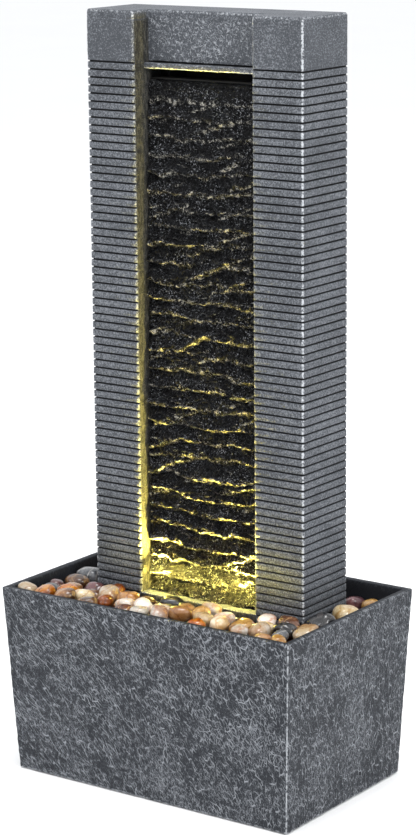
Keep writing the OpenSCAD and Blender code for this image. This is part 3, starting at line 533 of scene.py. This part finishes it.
def courses(x, z, height, slope, seed):
    """One set of lips: a wavy phase counts the courses; within one the underside slants out over the
    first fifth to the lip, and the face then falls back as (1 - f)^1.3."""
    warp = 0.0050 * noise(along(x / 0.05, z / 0.045, 0.3), seed)
    warp = warp + 0.0030 * noise(along(x / 0.014, z / 0.02, 0.7), seed + 1)
    warp = warp + 0.0013 * noise(along(x / 0.0045, z / 0.006, 0.9), seed + 2)
    phase = (z + slope * x + warp) / height
    course = np.floor(phase)
    f = phase - course
    reach = 0.0066 + 0.0052 * noise(along(x / 0.030, course * 1.7, 0.1), seed + 3)
    falling = (np.clip(1 - f, 0, 1) / (1 - UNDERSIDE)) ** 1.3
    stand = reach * np.where(f < UNDERSIDE, np.clip(f / UNDERSIDE, 0, 1), falling)
    return stand, np.clip(1 - np.abs(f - UNDERSIDE * 0.75) / (UNDERSIDE * 0.9), 0, 1)


def stone_face(x, z):
    """How far the split stone stands forward of its mean plane at (x, z): the greater of the level
    courses and a steeper set that shows in patches, with clusters of courses a third as high on them,
    broken into flakes and chips by ridged noise."""
    level, level_lip = courses(x, z, COURSE, 0.0, 31)
    steep, steep_lip = courses(x, z, COURSE * 1.3, -0.35, 61)
    steep = steep * np.clip(2.2 * noise(along(x / 0.045, z / 0.04, 0.6), 71) + 0.1, 0, 1.15)
    ripple, ripple_lip = courses(x, z, COURSE * 0.33, 0.10, 91)
    clustered = np.clip(2.5 * noise(along(x / 0.028, z / 0.018, 0.8), 95) + 0.4, 0, 1)
    stand = np.maximum(level, steep) + 0.36 * ripple * clustered
    flakes = 1 - np.abs(noise(along(x / 0.012 + z / 0.02, z / 0.0065, 0.5), 35))
    chips = 1 - np.abs(fractal(along(x / 0.0050, z / 0.0032, 0.2), 2, 37))
    fine = noise(along(x / 0.0021, z / 0.0017, 0.4), 41)
    stand = stand + 0.0036 * (flakes - 0.5) + 0.0034 * (chips - 0.5) + 0.0011 * fine
    lip = np.where(steep > level, steep_lip, level_lip)
    return stand, np.maximum(lip, 0.6 * ripple_lip * clustered)


def make_stone_wall():
    """Rings in plan, front face and flat back, carried up from the sill to the spill lip. The face
    is the mean plane less the stone's stand, which shrinks at the edges and the top, and the brow
    rounds it back by r (1 - sqrt(1 - t^2))."""
    low, high = panel_low, panel_high
    wide, tall = high[0] - low[0], high[2] - low[2]
    x = np.linspace(low[0], high[0], int(wide / WALL_GRID))
    z = np.linspace(low[2], high[2], int(tall / WALL_GRID))[:, None]
    mean = HEADER_Y - 0.001 - WALL_LEAN * (high[2] - z) / tall
    stand, lip = stone_face(*np.broadcast_arrays(x[None], z))
    edge = np.clip(np.minimum(x - low[0], high[0] - x) / 0.004, 0, 1)[None]
    near_top = np.clip(1 - (high[2] - z) / UNDER_LINTEL, 0, 1)
    brow = np.clip(1 - (high[2] - z) / BROW, 0, 1)
    stand = stand * (0.5 + 0.5 * edge) * (1 - 0.55 * near_top)
    y = mean - stand + BROW * (1 - np.sqrt(1 - brow ** 2))
    # No painted lip highlight over the brow.
    lip = lip * (1 - brow)
    front = along(x[None], y, z)
    back_x = np.array([high[0], low[0]])
    back = along(back_x[None], np.full((len(z), 2), high[1]), z)
    rings = np.concatenate([front, back], axis=1)
    flat = np.zeros((len(z), 2))
    return build("stone_wall", (rings, {"lip": np.concatenate([lip, flat], axis=1)}))


# ---------------------------------------------------------------- pebbles

def loose_parts(mesh):
    """The vertices of each separate solid in a mesh. Every vertex starts with its own number and
    takes the lowest number in any triangle that it is in, until nothing changes."""
    v = mesh_points(mesh).astype(float)
    hundredths = np.round(v * 1e5).astype(np.int64)
    _, same = np.unique(hundredths, axis=0, return_inverse=True)
    same = same.ravel()
    tri = same[vertex_of_corners(mesh)].reshape(-1, 3)
    label = np.arange(same.max() + 1)
    while True:
        lowest = label[tri].min(axis=1)
        new = label.copy()
        np.minimum.at(new, tri.ravel(), np.repeat(lowest, 3))
        new = new[new]
        if (new == label).all():
            break
        label = new
    part = label[same]
    return [v[part == k] for k in np.unique(part)]


PEBBLE_SWELL = 1.10      # the CAD stones keep clear of each other; these touch
PEBBLE_SQUARE = 2.5      # 2 would be an ellipsoid
PEBBLE_ROWS = 17
PEBBLE_COLUMNS = 28
POLE = 0.02              # radians from the pole to the first row


def pebble(points, seed):
    """A water-worn stone in the place of an ellipsoid: a superellipsoid, which is a sphere's point p
    over (|x|^n + |y|^n + |z|^n)^(1/n), made uneven by slow noise and stretched to the ellipsoid's
    own half axes."""
    centre = (points.min(axis=0) + points.max(axis=0)) / 2
    about = points - centre
    _, axes = np.linalg.eigh(about.T @ about)
    if np.linalg.det(axes) < 0:
        axes[:, 0] *= -1
    half = np.abs(about @ axes).max(axis=0) * PEBBLE_SWELL
    lat = np.linspace(POLE, math.pi - POLE, PEBBLE_ROWS)[:, None]
    lon = np.linspace(0, 2 * math.pi, PEBBLE_COLUMNS, endpoint=False)[None]
    ball = along(np.sin(lat) * np.cos(lon), np.sin(lat) * np.sin(lon), -np.cos(lat))
    span = (np.abs(ball) ** PEBBLE_SQUARE).sum(axis=-1, keepdims=True) ** (1 / PEBBLE_SQUARE)
    shape = ball / span
    uneven = 1 + 0.13 * noise(ball * 1.1 + seed * 7.3, 51) + 0.05 * noise(ball * 2.4 + seed * 3.1, 52)
    shape *= uneven[..., None]
    shape /= np.abs(shape).max(axis=(0, 1))
    return centre + (shape * half) @ axes.T


def make_pebbles(node):
    """One piece for each colour, with a random number stored on every stone of it."""
    stones = []
    for i, part in enumerate(loose_parts(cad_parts[node].data)):
        rings = pebble(part, i + len(node))
        tone = chance(np.array(i), np.array(len(node)), np.array(5), 77)
        stones.append((rings, {"tone": np.full(rings.shape[:2], float(tone))}))
    piece = build("river_" + node, *stones)
    piece.data.polygons.foreach_set("use_smooth", [True] * len(piece.data.polygons))
    return piece


# ---------------------------------------------------------------- materials

class Finish:
    """A material being made: its node tree, and short ways to add the nodes that these finishes use."""

    def __init__(self, name, **shader):
        self.material = bpy.data.materials.new(name)
        self.material.use_nodes = True
        self.tree = self.material.node_tree
        self.shader = self.tree.nodes["Principled BSDF"]
        for key, value in shader.items():
            self.shader.inputs[key.replace("_", " ")].default_value = value
        self.place = self.add("ShaderNodeTexCoord").outputs["Object"]

    def add(self, kind, inputs=None, **settings):
        """A node with its settings, and each input linked or given a value."""
        node = self.tree.nodes.new(kind)
        for key, value in settings.items():
            setattr(node, key, value)
        for key, value in (inputs or {}).items():
            if isinstance(value, bpy.types.NodeSocket):
                self.tree.links.new(value, node.inputs[key])
            else:
                node.inputs[key].default_value = value
        return node

    def stored(self, name):
        """A number stored on the surface's points."""
        return self.add("ShaderNodeAttribute", attribute_name=name).outputs["Fac"]

    def grain(self, size, detail=2.0, place=None, rough=0.5):
        """Noise whose blotches are about size metres across."""
        inputs = {"Vector": place or self.place, "Scale": 0.5 / size, "Detail": detail, "Roughness": rough}
        return self.add("ShaderNodeTexNoise", inputs).outputs["Fac"]

    def stretched(self, scale, place=None):
        """The place scaled by a different amount along each axis."""
        inputs = {"Vector": place or self.place, "Scale": scale}
        return self.add("ShaderNodeMapping", inputs).outputs["Vector"]

    def between(self, value, low, high):
        """0 below low, 1 above high and a smooth rise between them."""
        inputs = {"Value": value, "From Min": low, "From Max": high}
        return self.add("ShaderNodeMapRange", inputs, interpolation_type="SMOOTHSTEP").outputs["Result"]

    def level(self, value, low, high):
        """A value from 0 to 1 taken to low to high."""
        inputs = {"Value": value, "To Min": low, "To Max": high}
        return self.add("ShaderNodeMapRange", inputs).outputs["Result"]

    def calc(self, kind, a, b=0.0, c=0.0):
        """One arithmetic step."""
        return self.add("ShaderNodeMath", {0: a, 1: b, 2: c}, operation=kind).outputs["Value"]

    def lines(self, scale, width):
        """Thin wavering lines: 1 where smooth noise passes through its middle value."""
        inputs = {"Vector": self.place, "Scale": scale, "Detail": 1.0, "Distortion": 0.4}
        n = self.add("ShaderNodeTexNoise", inputs).outputs["Fac"]
        away = self.calc("ABSOLUTE", self.calc("SUBTRACT", n, 0.5))
        return self.calc("SUBTRACT", 1.0, self.between(away, width * 0.3, width))

    def cracks(self, scale, width, place):
        """Thin lines of one width along the borders between the cells of a flat cell pattern."""
        inputs = {"Vector": place, "Scale": scale}
        settings = {"voronoi_dimensions": "2D", "feature": "DISTANCE_TO_EDGE"}
        away = self.add("ShaderNodeTexVoronoi", inputs, **settings).outputs["Distance"]
        return self.calc("SUBTRACT", 1.0, self.between(away, width * 0.35, width))

    def bent(self, place, size, amount):
        """The place pushed about by up to amount, in waves about size metres across."""
        inputs = {"Vector": place, "Scale": 0.5 / size, "Detail": 2.0}
        wave = self.add("ShaderNodeTexNoise", inputs).outputs["Color"]
        kind = "ShaderNodeVectorMath"
        push = self.add(kind, {0: wave, 1: (0.5, 0.5, 0.5)}, operation="SUBTRACT").outputs[0]
        push = self.add(kind, {0: push, "Scale": amount * 2}, operation="SCALE").outputs[0]
        return self.add(kind, {0: place, 1: push}).outputs[0]

    def blend(self, share, a, b):
        """Colour a, turning to colour b as share goes from 0 to 1."""
        a, b = (c if isinstance(c, bpy.types.NodeSocket) else (*c, 1.0) for c in (a, b))
        return self.add("ShaderNodeMix", {0: share, 6: a, 7: b}, data_type="RGBA").outputs[2]

    def link(self, key, value):
        """Gives a shader's input a pattern."""
        self.tree.links.new(value, self.shader.inputs[key])

    def relief(self, height, depth, strength=1.0):
        """Bump from a height between 0 and 1, depth metres deep."""
        bump = self.add("ShaderNodeBump", {"Height": height, "Distance": depth, "Strength": strength})
        self.link("Normal", bump.outputs["Normal"])
        return bump


def cast_resin():
    """Blue-grey resin dusted with silver: a dark ground, fine silver specks gathered in patches,
    short pale worms over the header, rubbed pale in broken dots along the edges and, as a painted
    highlight, on the header lip's lower edge, painted shade near black in the grooves, and darker
    mottled brown-black in runs on the cheeks beside the water and below the sill."""
    f = Finish("cast_resin", Specular_IOR_Level=0.2)
    fine = f.grain(0.00085, 3.0, rough=0.75)
    patch = f.grain(0.024, 2.0)
    dusted = f.stored("dusted")
    over_header = f.between(dusted, 0.6, 1.0)
    dust = f.calc("MULTIPLY_ADD", f.calc("SUBTRACT", patch, 0.5), 0.16, fine)
    dust = f.calc("MULTIPLY_ADD", dusted, 0.07, dust)
    dust = f.calc("MULTIPLY_ADD", over_header, -0.085, dust)
    ground = f.blend(f.grain(0.006, 3.0), (0.044, 0.048, 0.056), (0.066, 0.072, 0.082))
    colour = f.blend(f.between(dust, 0.45, 0.70), ground, (0.20, 0.212, 0.235))
    worms = f.lines(240.0, 0.050)
    broken = f.between(f.calc("MULTIPLY_ADD", patch, 0.4, f.grain(0.0022, 2.0)), 0.56, 0.86)
    shown = f.calc("MULTIPLY", f.calc("MULTIPLY", worms, broken), over_header)
    colour = f.blend(shown, colour, (0.32, 0.335, 0.36))
    # Darker mottled brown-black, with pale flecks, on the cheeks beside the water and below the sill.
    runs = f.between(f.grain(0.0013, 3.0, f.stretched((1.0, 1.0, 0.3))), 0.44, 0.62)
    damp = f.blend(runs, (0.011, 0.010, 0.007), (0.064, 0.060, 0.046))
    damp = f.blend(f.between(fine, 0.56, 0.70), damp, (0.125, 0.122, 0.105))
    colour = f.blend(f.calc("MULTIPLY", f.stored("damp"), 0.80), colour, damp)
    # Pale rubbed edges: wear, and on the header lip's lower edge also a painted highlight where the lamps
    # catch it.
    edge = f.stored("worn")
    rub = f.between(f.calc("MULTIPLY_ADD", edge, 0.26, f.grain(0.0011, 3.0)), 0.58, 0.82)
    colour = f.blend(f.calc("MULTIPLY", rub, edge), colour, (0.54, 0.56, 0.59))
    # painted shade: near black in the grooves, the header's groove and the cheeks behind the header's face
    colour = f.blend(f.stored("groove"), colour, (0.004, 0.004, 0.005))
    f.link("Base Color", colour)
    f.link("Roughness", f.level(fine, 0.45, 0.75))
    f.relief(f.calc("MULTIPLY_ADD", worms, 0.12, dust), 0.0011, 0.8)
    return f.material


def brushed_slate():
    """Dark slate-textured resin, dry-brushed: thin pale threads that follow the pressed grain and
    finer crinkles between them, both broken up in patches, over a finely speckled blue-black ground
    that turns smooth and darker inside."""
    f = Finish("brushed_slate", Specular_IOR_Level=0.14)
    grain_map = f.add("ShaderNodeUVMap", uv_map="slate").outputs["UV"]
    fine = f.grain(0.0008, 3.0, rough=0.75)
    patch = f.grain(0.020, 2.0)
    wavy = f.bent(grain_map, 0.0045, 0.0034)
    threads = f.cracks(230.0, 0.090, f.stretched((1.0, 0.34, 1.0), wavy))
    gaps = f.between(f.grain(0.0042, 3.0, f.stretched((1.0, 0.45, 1.0), grain_map)), 0.49, 0.58)
    threads = f.calc("MULTIPLY", threads, gaps)
    curled = f.bent(grain_map, 0.0022, 0.0030)
    crinkles = f.cracks(350.0, 0.13, f.stretched((1.0, 0.36, 1.0), curled))
    thin_gaps = f.between(f.calc("MULTIPLY_ADD", patch, 0.5, f.grain(0.0030, 2.0)), 0.62, 0.86)
    crinkles = f.calc("MULTIPLY", crinkles, f.level(thin_gaps, 0.05, 0.66))
    outer = f.calc("SUBTRACT", 1.0, f.stored("inner"))
    pale = f.calc("MULTIPLY", f.calc("MAXIMUM", threads, crinkles), outer)
    dust = f.calc("MULTIPLY_ADD", f.calc("SUBTRACT", patch, 0.5), 0.22, fine)
    ground = f.blend(f.grain(0.005, 3.0), (0.015, 0.017, 0.021), (0.029, 0.032, 0.039))
    dusty = f.calc("MULTIPLY", f.between(dust, 0.53, 0.68), outer)
    colour = f.blend(dusty, ground, (0.150, 0.158, 0.176))
    colour = f.blend(pale, colour, (0.27, 0.285, 0.31))
    edge = f.stored("worn")
    rub = f.between(f.calc("MULTIPLY_ADD", edge, 0.30, f.grain(0.0018, 3.0)), 0.56, 0.82)
    colour = f.blend(f.calc("MULTIPLY", rub, edge), colour, (0.46, 0.48, 0.51))
    colour = f.blend(f.calc("MULTIPLY", f.stored("inner"), 0.8), colour, (0.014, 0.016, 0.021))
    f.link("Base Color", colour)
    f.link("Roughness", f.level(fine, 0.45, 0.75))
    f.relief(f.calc("MULTIPLY_ADD", threads, 0.6, dust), 0.0012, 0.9)
    return f.material


def wet_stone():
    """Black split stone under a film of water: a nearly black ground with grey flakes, painted glints
    as bright flecks in clusters, pale flecks on the lips as a painted highlight of their lit edges,
    and a thin clear coat over the same bumps, which break up its highlights."""
    film = {"Coat_Weight": 0.28, "Coat_Roughness": 0.05, "Coat_IOR": 1.33}
    f = Finish("wet_stone", Specular_IOR_Level=0.10, **film)
    fine = f.grain(0.0009, 3.0, rough=0.75)
    flake = f.grain(0.0035, 3.0)
    cluster = f.between(f.grain(0.012, 2.0), 0.42, 0.62)
    ground = f.blend(f.between(flake, 0.48, 0.72), (0.0015, 0.0015, 0.002), (0.008, 0.009, 0.011))
    # painted highlight: bright flecks in clusters stand in for glints of light on the wet stone
    painted_glints = f.calc("MULTIPLY", f.between(fine, 0.59, 0.65), f.level(cluster, 0.22, 1.0))
    colour = f.blend(painted_glints, ground, (0.50, 0.52, 0.56))
    # painted highlight: pale flecks along the lips stand in for the lamps' light catching them
    lip_highlight_flecks = f.between(f.calc("MULTIPLY_ADD", flake, 0.6, fine), 0.84, 0.93)
    painted_lip_highlight = f.calc("MULTIPLY", f.between(f.stored("lip"), 0.20, 0.85), lip_highlight_flecks)
    f.link("Base Color", f.blend(painted_lip_highlight, colour, (0.50, 0.48, 0.42)))
    f.link("Roughness", f.level(fine, 0.15, 0.55))
    bump = f.relief(f.calc("MULTIPLY_ADD", flake, 1.2, fine), 0.0034, 1.0)
    f.tree.links.new(bump.outputs["Normal"], f.shader.inputs["Coat Normal"])
    return f.material


def river_stone(name, low, mid, high, vein):
    """A polished pebble: three tones of one stone in soft clouds, veined in a fourth, and each
    stone a little lighter, darker, redder or yellower by its own number."""
    f = Finish(name, Coat_Weight=0.5, Coat_Roughness=0.10)
    tone = f.stored("tone")
    apart = f.add("ShaderNodeCombineXYZ", {"X": tone, "Y": tone, "Z": tone}).outputs[0]
    own = f.add("ShaderNodeVectorMath", {0: f.place, 1: apart}).outputs[0]
    cloud = f.grain(0.011, 3.0, own, 0.6)
    speck = f.grain(0.0016, 3.0, own)
    colour = f.blend(f.between(cloud, 0.38, 0.50), low, mid)
    colour = f.blend(f.between(cloud, 0.50, 0.64), colour, high)
    veins = {"Vector": own, "Scale": 24.0, "Distortion": 11.0, "Detail": 3.0, "Detail Scale": 1.6}
    band = f.add("ShaderNodeTexWave", veins).outputs["Fac"]
    colour = f.blend(f.calc("MULTIPLY", f.between(band, 0.86, 1.0), 0.55), colour, vein)
    colour = f.blend(f.calc("MULTIPLY", f.between(speck, 0.56, 0.72), 0.35), colour, vein)
    lightness = f.level(tone, 0.45, 1.00)
    turn = f.level(f.calc("FRACT", f.calc("MULTIPLY", tone, 7.0)), 0.486, 0.512)
    own_shade = {"Color": colour, "Value": lightness, "Hue": turn, "Saturation": 1.20}
    f.link("Base Color", f.add("ShaderNodeHueSaturation", own_shade).outputs["Color"])
    f.link("Roughness", f.level(speck, 0.18, 0.42))
    f.relief(f.calc("MULTIPLY_ADD", speck, 0.3, cloud), 0.0005, 0.4)
    return f.material


def moulded(name, low, high, rough, grain=0.0012, depth=0.00015):
    """Moulded plastic or rubber: two close tones in soft clouds and a fine moulded grain."""
    f = Finish(name, Specular_IOR_Level=0.3)
    fine = f.grain(grain, 3.0)
    f.link("Base Color", f.blend(f.grain(0.014, 3.0), low, high))
    f.link("Roughness", f.level(fine, rough - 0.1, rough + 0.1))
    f.relief(fine, depth, 0.7)
    return f.material


def drawn_steel():
    """Stainless steel with fine scratches drawn along Z and faint stains."""
    f = Finish("drawn_steel", Metallic=1.0)
    scratch = f.grain(0.0003, 3.0, f.stretched((1.0, 1.0, 0.08)))
    f.link("Base Color", f.blend(f.grain(0.006, 3.0), (0.46, 0.46, 0.45), (0.66, 0.66, 0.65)))
    f.link("Roughness", f.level(scratch, 0.18, 0.36))
    f.relief(scratch, 0.00004, 0.6)
    return f.material


def clear_vinyl():
    """Milky translucent hose."""
    f = Finish("clear_vinyl", Transmission_Weight=0.6, IOR=1.45)
    film = f.grain(0.004, 3.0)
    f.link("Base Color", f.blend(film, (0.66, 0.74, 0.74), (0.84, 0.88, 0.87)))
    f.link("Roughness", f.level(film, 0.15, 0.30))
    f.relief(film, 0.0002, 0.3)
    return f.material


def lit_lens():
    """The lamp's lens, glowing warm yellow from the dies behind it."""
    f = Finish("lit_lens", Emission_Strength=9.0)
    ribs = f.grain(0.002, 2.0)
    f.link("Base Color", f.blend(ribs, (0.9, 0.78, 0.4), (1.0, 0.9, 0.6)))
    f.link("Emission Color", f.blend(ribs, (1.0, 0.66, 0.16), (1.0, 0.80, 0.30)))
    f.relief(ribs, 0.0003, 0.5)
    return f.material


def glazed_ceramic():
    """The pump's white ceramic shaft."""
    f = Finish("glazed_ceramic", Coat_Weight=0.4)
    fine = f.grain(0.0008, 3.0)
    f.link("Base Color", f.blend(fine, (0.74, 0.73, 0.70), (0.86, 0.86, 0.84)))
    f.link("Roughness", f.level(fine, 0.12, 0.22))
    f.relief(fine, 0.00003, 0.4)
    return f.material


# ---------------------------------------------------------------- the object put together

tower_finish = cast_resin()
basin_finish = brushed_slate()
stone_finish = wet_stone()

carried_over = [
    (moulded("black_rubber", (0.012, 0.012, 0.013), (0.026, 0.026, 0.028), 0.62), [
        "feet", "drain_plug", "hatch_seal", "cable_grommet", "pump_suction_cups",
        "pump_cable_gland", "led_leads", "led_connectors"]),
    (moulded("cover_plastic", (0.070, 0.074, 0.082), (0.100, 0.105, 0.116), 0.55, 0.0009, 0.0003), [
        "back_panel", "access_hatch"]),
    (moulded("black_plastic", (0.007, 0.007, 0.008), (0.016, 0.016, 0.017), 0.50), [
        "pebble_tray"]),
    (moulded("trough_plastic", (0.002, 0.002, 0.002), (0.005, 0.005, 0.005), 0.75), [
        "spill_trough"]),
    (moulded("pump_plastic", (0.016, 0.017, 0.020), (0.034, 0.036, 0.041), 0.38), [
        "pump_body", "pump_volute", "intake_strainer"]),
    (moulded("impeller_plastic", (0.55, 0.55, 0.52), (0.70, 0.70, 0.67), 0.40), [
        "impeller"]),
    (moulded("dial_plastic", (0.10, 0.20, 0.32), (0.14, 0.26, 0.40), 0.42), [
        "flow_dial"]),
    (moulded("lamp_plastic", (0.014, 0.014, 0.015), (0.030, 0.030, 0.032), 0.42), [
        "led_housing_left", "led_housing_right"]),
    (moulded("led_board", (0.62, 0.62, 0.58), (0.80, 0.80, 0.76), 0.45, 0.0006), [
        "led_board_left", "led_board_right"]),
    (drawn_steel(), [
        "back_panel_screws", "trough_screws", "led_bracket_screws", "hose_clamps",
        "led_brackets", "led_bezel_left", "led_bezel_right"]),
    (clear_vinyl(), ["riser_hose"]),
    (lit_lens(), ["led_lens_left", "led_lens_right"]),
    (glazed_ceramic(), ["pump_shaft"]),
]
for finish, nodes in carried_over:
    for node in nodes:
        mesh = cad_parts[node].data
        mesh.materials.clear()
        mesh.materials.append(finish)


def place(piece, node, slot, finish):
    """Gives a new piece its finish and its body, and hides the CAD node that it stands for."""
    piece.data.materials.append(finish)
    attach(piece, "root")
    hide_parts(node)


for part in make_tower():
    place(part, "tower_shell", "tower_resin", tower_finish)
place(make_basin(), "basin", "basin_resin", basin_finish)
place(make_drain_boss(), "basin", "basin_resin", tower_finish)
place(make_stone_wall(), "cascade_panel", "wet_stone", stone_finish)

# Each colour's low, middle and high tone, and its veins
pebble_tones = {
    "cream": ((0.52, 0.33, 0.18), (0.72, 0.56, 0.37), (0.80, 0.70, 0.55), (0.46, 0.24, 0.11)),
    "white": ((0.62, 0.44, 0.32), (0.80, 0.72, 0.62), (0.88, 0.83, 0.76), (0.58, 0.30, 0.17)),
    "tan": ((0.30, 0.155, 0.07), (0.48, 0.29, 0.14), (0.64, 0.44, 0.25), (0.17, 0.075, 0.035)),
    "orange": ((0.25, 0.075, 0.022), (0.46, 0.17, 0.055), (0.66, 0.34, 0.14), (0.12, 0.035, 0.015)),
    "brown": ((0.055, 0.028, 0.018), (0.13, 0.065, 0.038), (0.28, 0.155, 0.09), (0.50, 0.34, 0.20)),
    "plum": ((0.085, 0.042, 0.046), (0.19, 0.095, 0.095), (0.36, 0.21, 0.19), (0.05, 0.026, 0.03)),
    "grey": ((0.060, 0.063, 0.072), (0.115, 0.118, 0.128), (0.21, 0.21, 0.215), (0.40, 0.38, 0.36)),
    "black": ((0.008, 0.008, 0.010), (0.018, 0.018, 0.021), (0.040, 0.040, 0.044), (0.12, 0.11, 0.11)),
}
for colour, tones in pebble_tones.items():
    slot = "pebble_" + colour
    place(make_pebbles("pebbles_" + colour), "pebbles_" + colour, slot, river_stone(slot, *tones))


# ---------------------------------------------------------------- lamps

WARM = (1.0, 0.80, 0.14)
LAMP_Y = FRONT + 0.0026  # the light leaves from just behind the pillars' faces, so that they stay grey
BEAM_LIFT = 0.016        # and this far above the bezel, clear of the stones
BEAM_POWER = 15.0
GLOW_LIFT = 0.027        # light that spreads over the sill and the foot of the wall
GLOW_WIDTH = 0.070
GLOW_POWER = 0.25
SPILL_LIFT = 0.020       # light beside each cheek
SPILL_POWER = 0.05
FRONT_LIFT = 0.034       # the little that the stones throw back on the fronts of the pillars
FRONT_WIDTH = 0.040
FRONT_POWER = {"left": 0.008, "right": 0.036}
POINT_SIZE = 0.002

# The film of water scatters the beams on to the courses above, less and less as they go up
SCATTER_COUNT = 8
SCATTER_STEP = 0.044
SCATTER_START = 0.25
SCATTER_POWER = 0.080
SCATTER_SPREAD = 75      # degrees, so that it grazes the faces and catches the lips
SCATTER_FADE = 0.20


def shine(light, place, aim, power):
    """A light in the scene that shines along aim."""
    light.energy = power
    obj = put_in_scene(light.name, light)
    obj.location = place
    obj.rotation_mode = "QUATERNION"
    obj.rotation_quaternion = Vector(aim).to_track_quat("-Z", "Y")
    return obj


def lamp_light(light, place, aim, power, body=None):
    """A warm light of a lamp, which moves with it if it has a body."""
    light.color = WARM
    obj = shine(light, place, aim, power)
    obj.visible_camera = False
    if body:
        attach(obj, body)


def strip(name, width, spread=180):
    """An area light of the given width, 2 mm high, that shines within spread degrees."""
    light = bpy.data.lights.new(name, "AREA")
    light.shape = "RECTANGLE"
    light.size = width
    light.size_y = 0.002
    light.spread = math.radians(spread)
    return light


def light_lamp(side, inwards):
    """Four lights for one lamp: its beam up the wall, and what reaches the sill, the cheek and the
    front of the pillar. inwards is 1 on the left and -1 on the right."""
    body = "lamp_" + side
    low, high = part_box("led_bezel_" + side)
    x, z = (low[0] + high[0]) / 2, high[2]
    beam = bpy.data.lights.new("lamp_beam_" + side, "SPOT")
    beam.shadow_soft_size = POINT_SIZE
    beam.spot_size = math.radians(100)
    beam.spot_blend = 1.0
    lamp_light(beam, (x, LAMP_Y, z + BEAM_LIFT), (0.07 * inwards, 0.03, 1.0), BEAM_POWER, body)
    glow = strip("lamp_glow_" + side, GLOW_WIDTH)
    at_sill = -inwards * (HALF_RECESS - GLOW_WIDTH / 2 - 0.003)
    lamp_light(glow, (at_sill, LAMP_Y, z + GLOW_LIFT), (0.0, 1.0, -0.35), GLOW_POWER, body)
    spill = bpy.data.lights.new("lamp_spill_" + side, "POINT")
    spill.shadow_soft_size = POINT_SIZE
    at_cheek = -inwards * (HALF_RECESS - 0.022)
    lamp_light(spill, (at_cheek, LAMP_Y, z + SPILL_LIFT), (0.0, 1.0, 0.0), SPILL_POWER, body)
    front = strip("lamp_front_" + side, FRONT_WIDTH)
    at_front = -inwards * (HALF_RECESS + FRONT_WIDTH / 2 + 0.002)
    on_stones = (at_front, FRONT - 0.034, z + FRONT_LIFT)
    lamp_light(front, on_stones, (0.0, 0.6, 1.0), FRONT_POWER[side], body)


light_lamp("left", 1)
light_lamp("right", -1)
for i in range(SCATTER_COUNT):
    height = SCATTER_START + SCATTER_STEP * i
    scatter = strip("water_scatter_" + str(i), 2 * HALF_RECESS - 0.012, SCATTER_SPREAD)
    power = SCATTER_POWER * math.exp((SCATTER_START - height) / SCATTER_FADE)
    lamp_light(scatter, (0.0, LAMP_Y, height), (0.0, 0.16, 1.0), power)
under_lintel = (-0.012, HEADER_Y - LIP - 0.0012, LINTEL - 0.018)
lamp_light(strip("lintel_scatter", 0.11, 50), under_lintel, (0.0, 0.0, 1.0), 0.025)


# ---------------------------------------------------------------- studio

MIDDLE = Vector((0.0, 0.0, 0.45))


def studio_light(name, place, width, power):
    """A square soft light turned towards the middle of the fountain."""
    light = bpy.data.lights.new(name, "AREA")
    light.size = width
    shine(light, place, MIDDLE - Vector(place), power)


studio_light("key_left", (-1.5, -2.6, 2.4), 0.6, 13.0)
studio_light("key_right", (2.9, -0.7, 2.0), 0.6, 32.0)
studio_light("overhead", (0.2, -0.3, 3.2), 1.2, 54.0)
glint_places = [(-1.2, -2.4, 1.2), (0.3, -2.8, 1.9), (1.5, -2.3, 2.3), (-0.5, -2.2, 2.6), (0.9, -2.8, 0.9)]
for i, spot in enumerate(glint_places):
    studio_light("glint_" + str(i), spot, 0.07, 2.2)

world = bpy.data.worlds.new("studio_air")
world.use_nodes = True
air = world.node_tree.nodes["Background"]
air.inputs["Color"].default_value = (0.97, 0.985, 1.0, 1.0)
air.inputs["Strength"].default_value = 1.06
bpy.context.scene.world = world
bpy.context.scene.view_settings.view_transform = "Standard"

FLOOR_HALF = 30.0
floor_mesh = bpy.data.meshes.new("floor")
floor_corners = [(x * FLOOR_HALF, y * FLOOR_HALF, 0) for x, y in ((-1, -1), (1, -1), (1, 1), (-1, 1))]
floor_mesh.from_pydata(floor_corners, [], [(0, 1, 2, 3)])
floor = put_in_scene("floor", floor_mesh)
pale = Finish("pale_floor", Roughness=0.9, Specular_IOR_Level=0.1)
pale.link("Base Color", pale.blend(pale.grain(0.3, 2.0), (0.93, 0.93, 0.93), (0.96, 0.96, 0.96)))
floor_mesh.materials.append(pale.material)


# ---------------------------------------------------------------- camera

CAMERA_PLACE = Vector((1.5962, -2.2227, 1.0287))
CAMERA_AIM = Vector((0.0001, 0.0058, 0.4002))
CAMERA_ROLL = math.radians(-0.55)
CAMERA_LENS = 111.39
SENSOR = 36.0

camera_data = bpy.data.cameras.new("camera")
camera_data.sensor_fit = "VERTICAL"
camera_data.sensor_height = SENSOR
camera_data.lens = CAMERA_LENS
camera_data.clip_end = 100.0
camera = put_in_scene("camera", camera_data)
ahead = (CAMERA_AIM - CAMERA_PLACE).normalized()
level = ahead.cross(Vector((0, 0, 1))).normalized()
upright = level.cross(ahead)
right = level * math.cos(CAMERA_ROLL) + upright * math.sin(CAMERA_ROLL)
up = upright * math.cos(CAMERA_ROLL) - level * math.sin(CAMERA_ROLL)
turned = Matrix((right, up, -ahead)).transposed().to_4x4()
camera.matrix_world = Matrix.Translation(CAMERA_PLACE) @ turned
bpy.context.scene.camera = camera
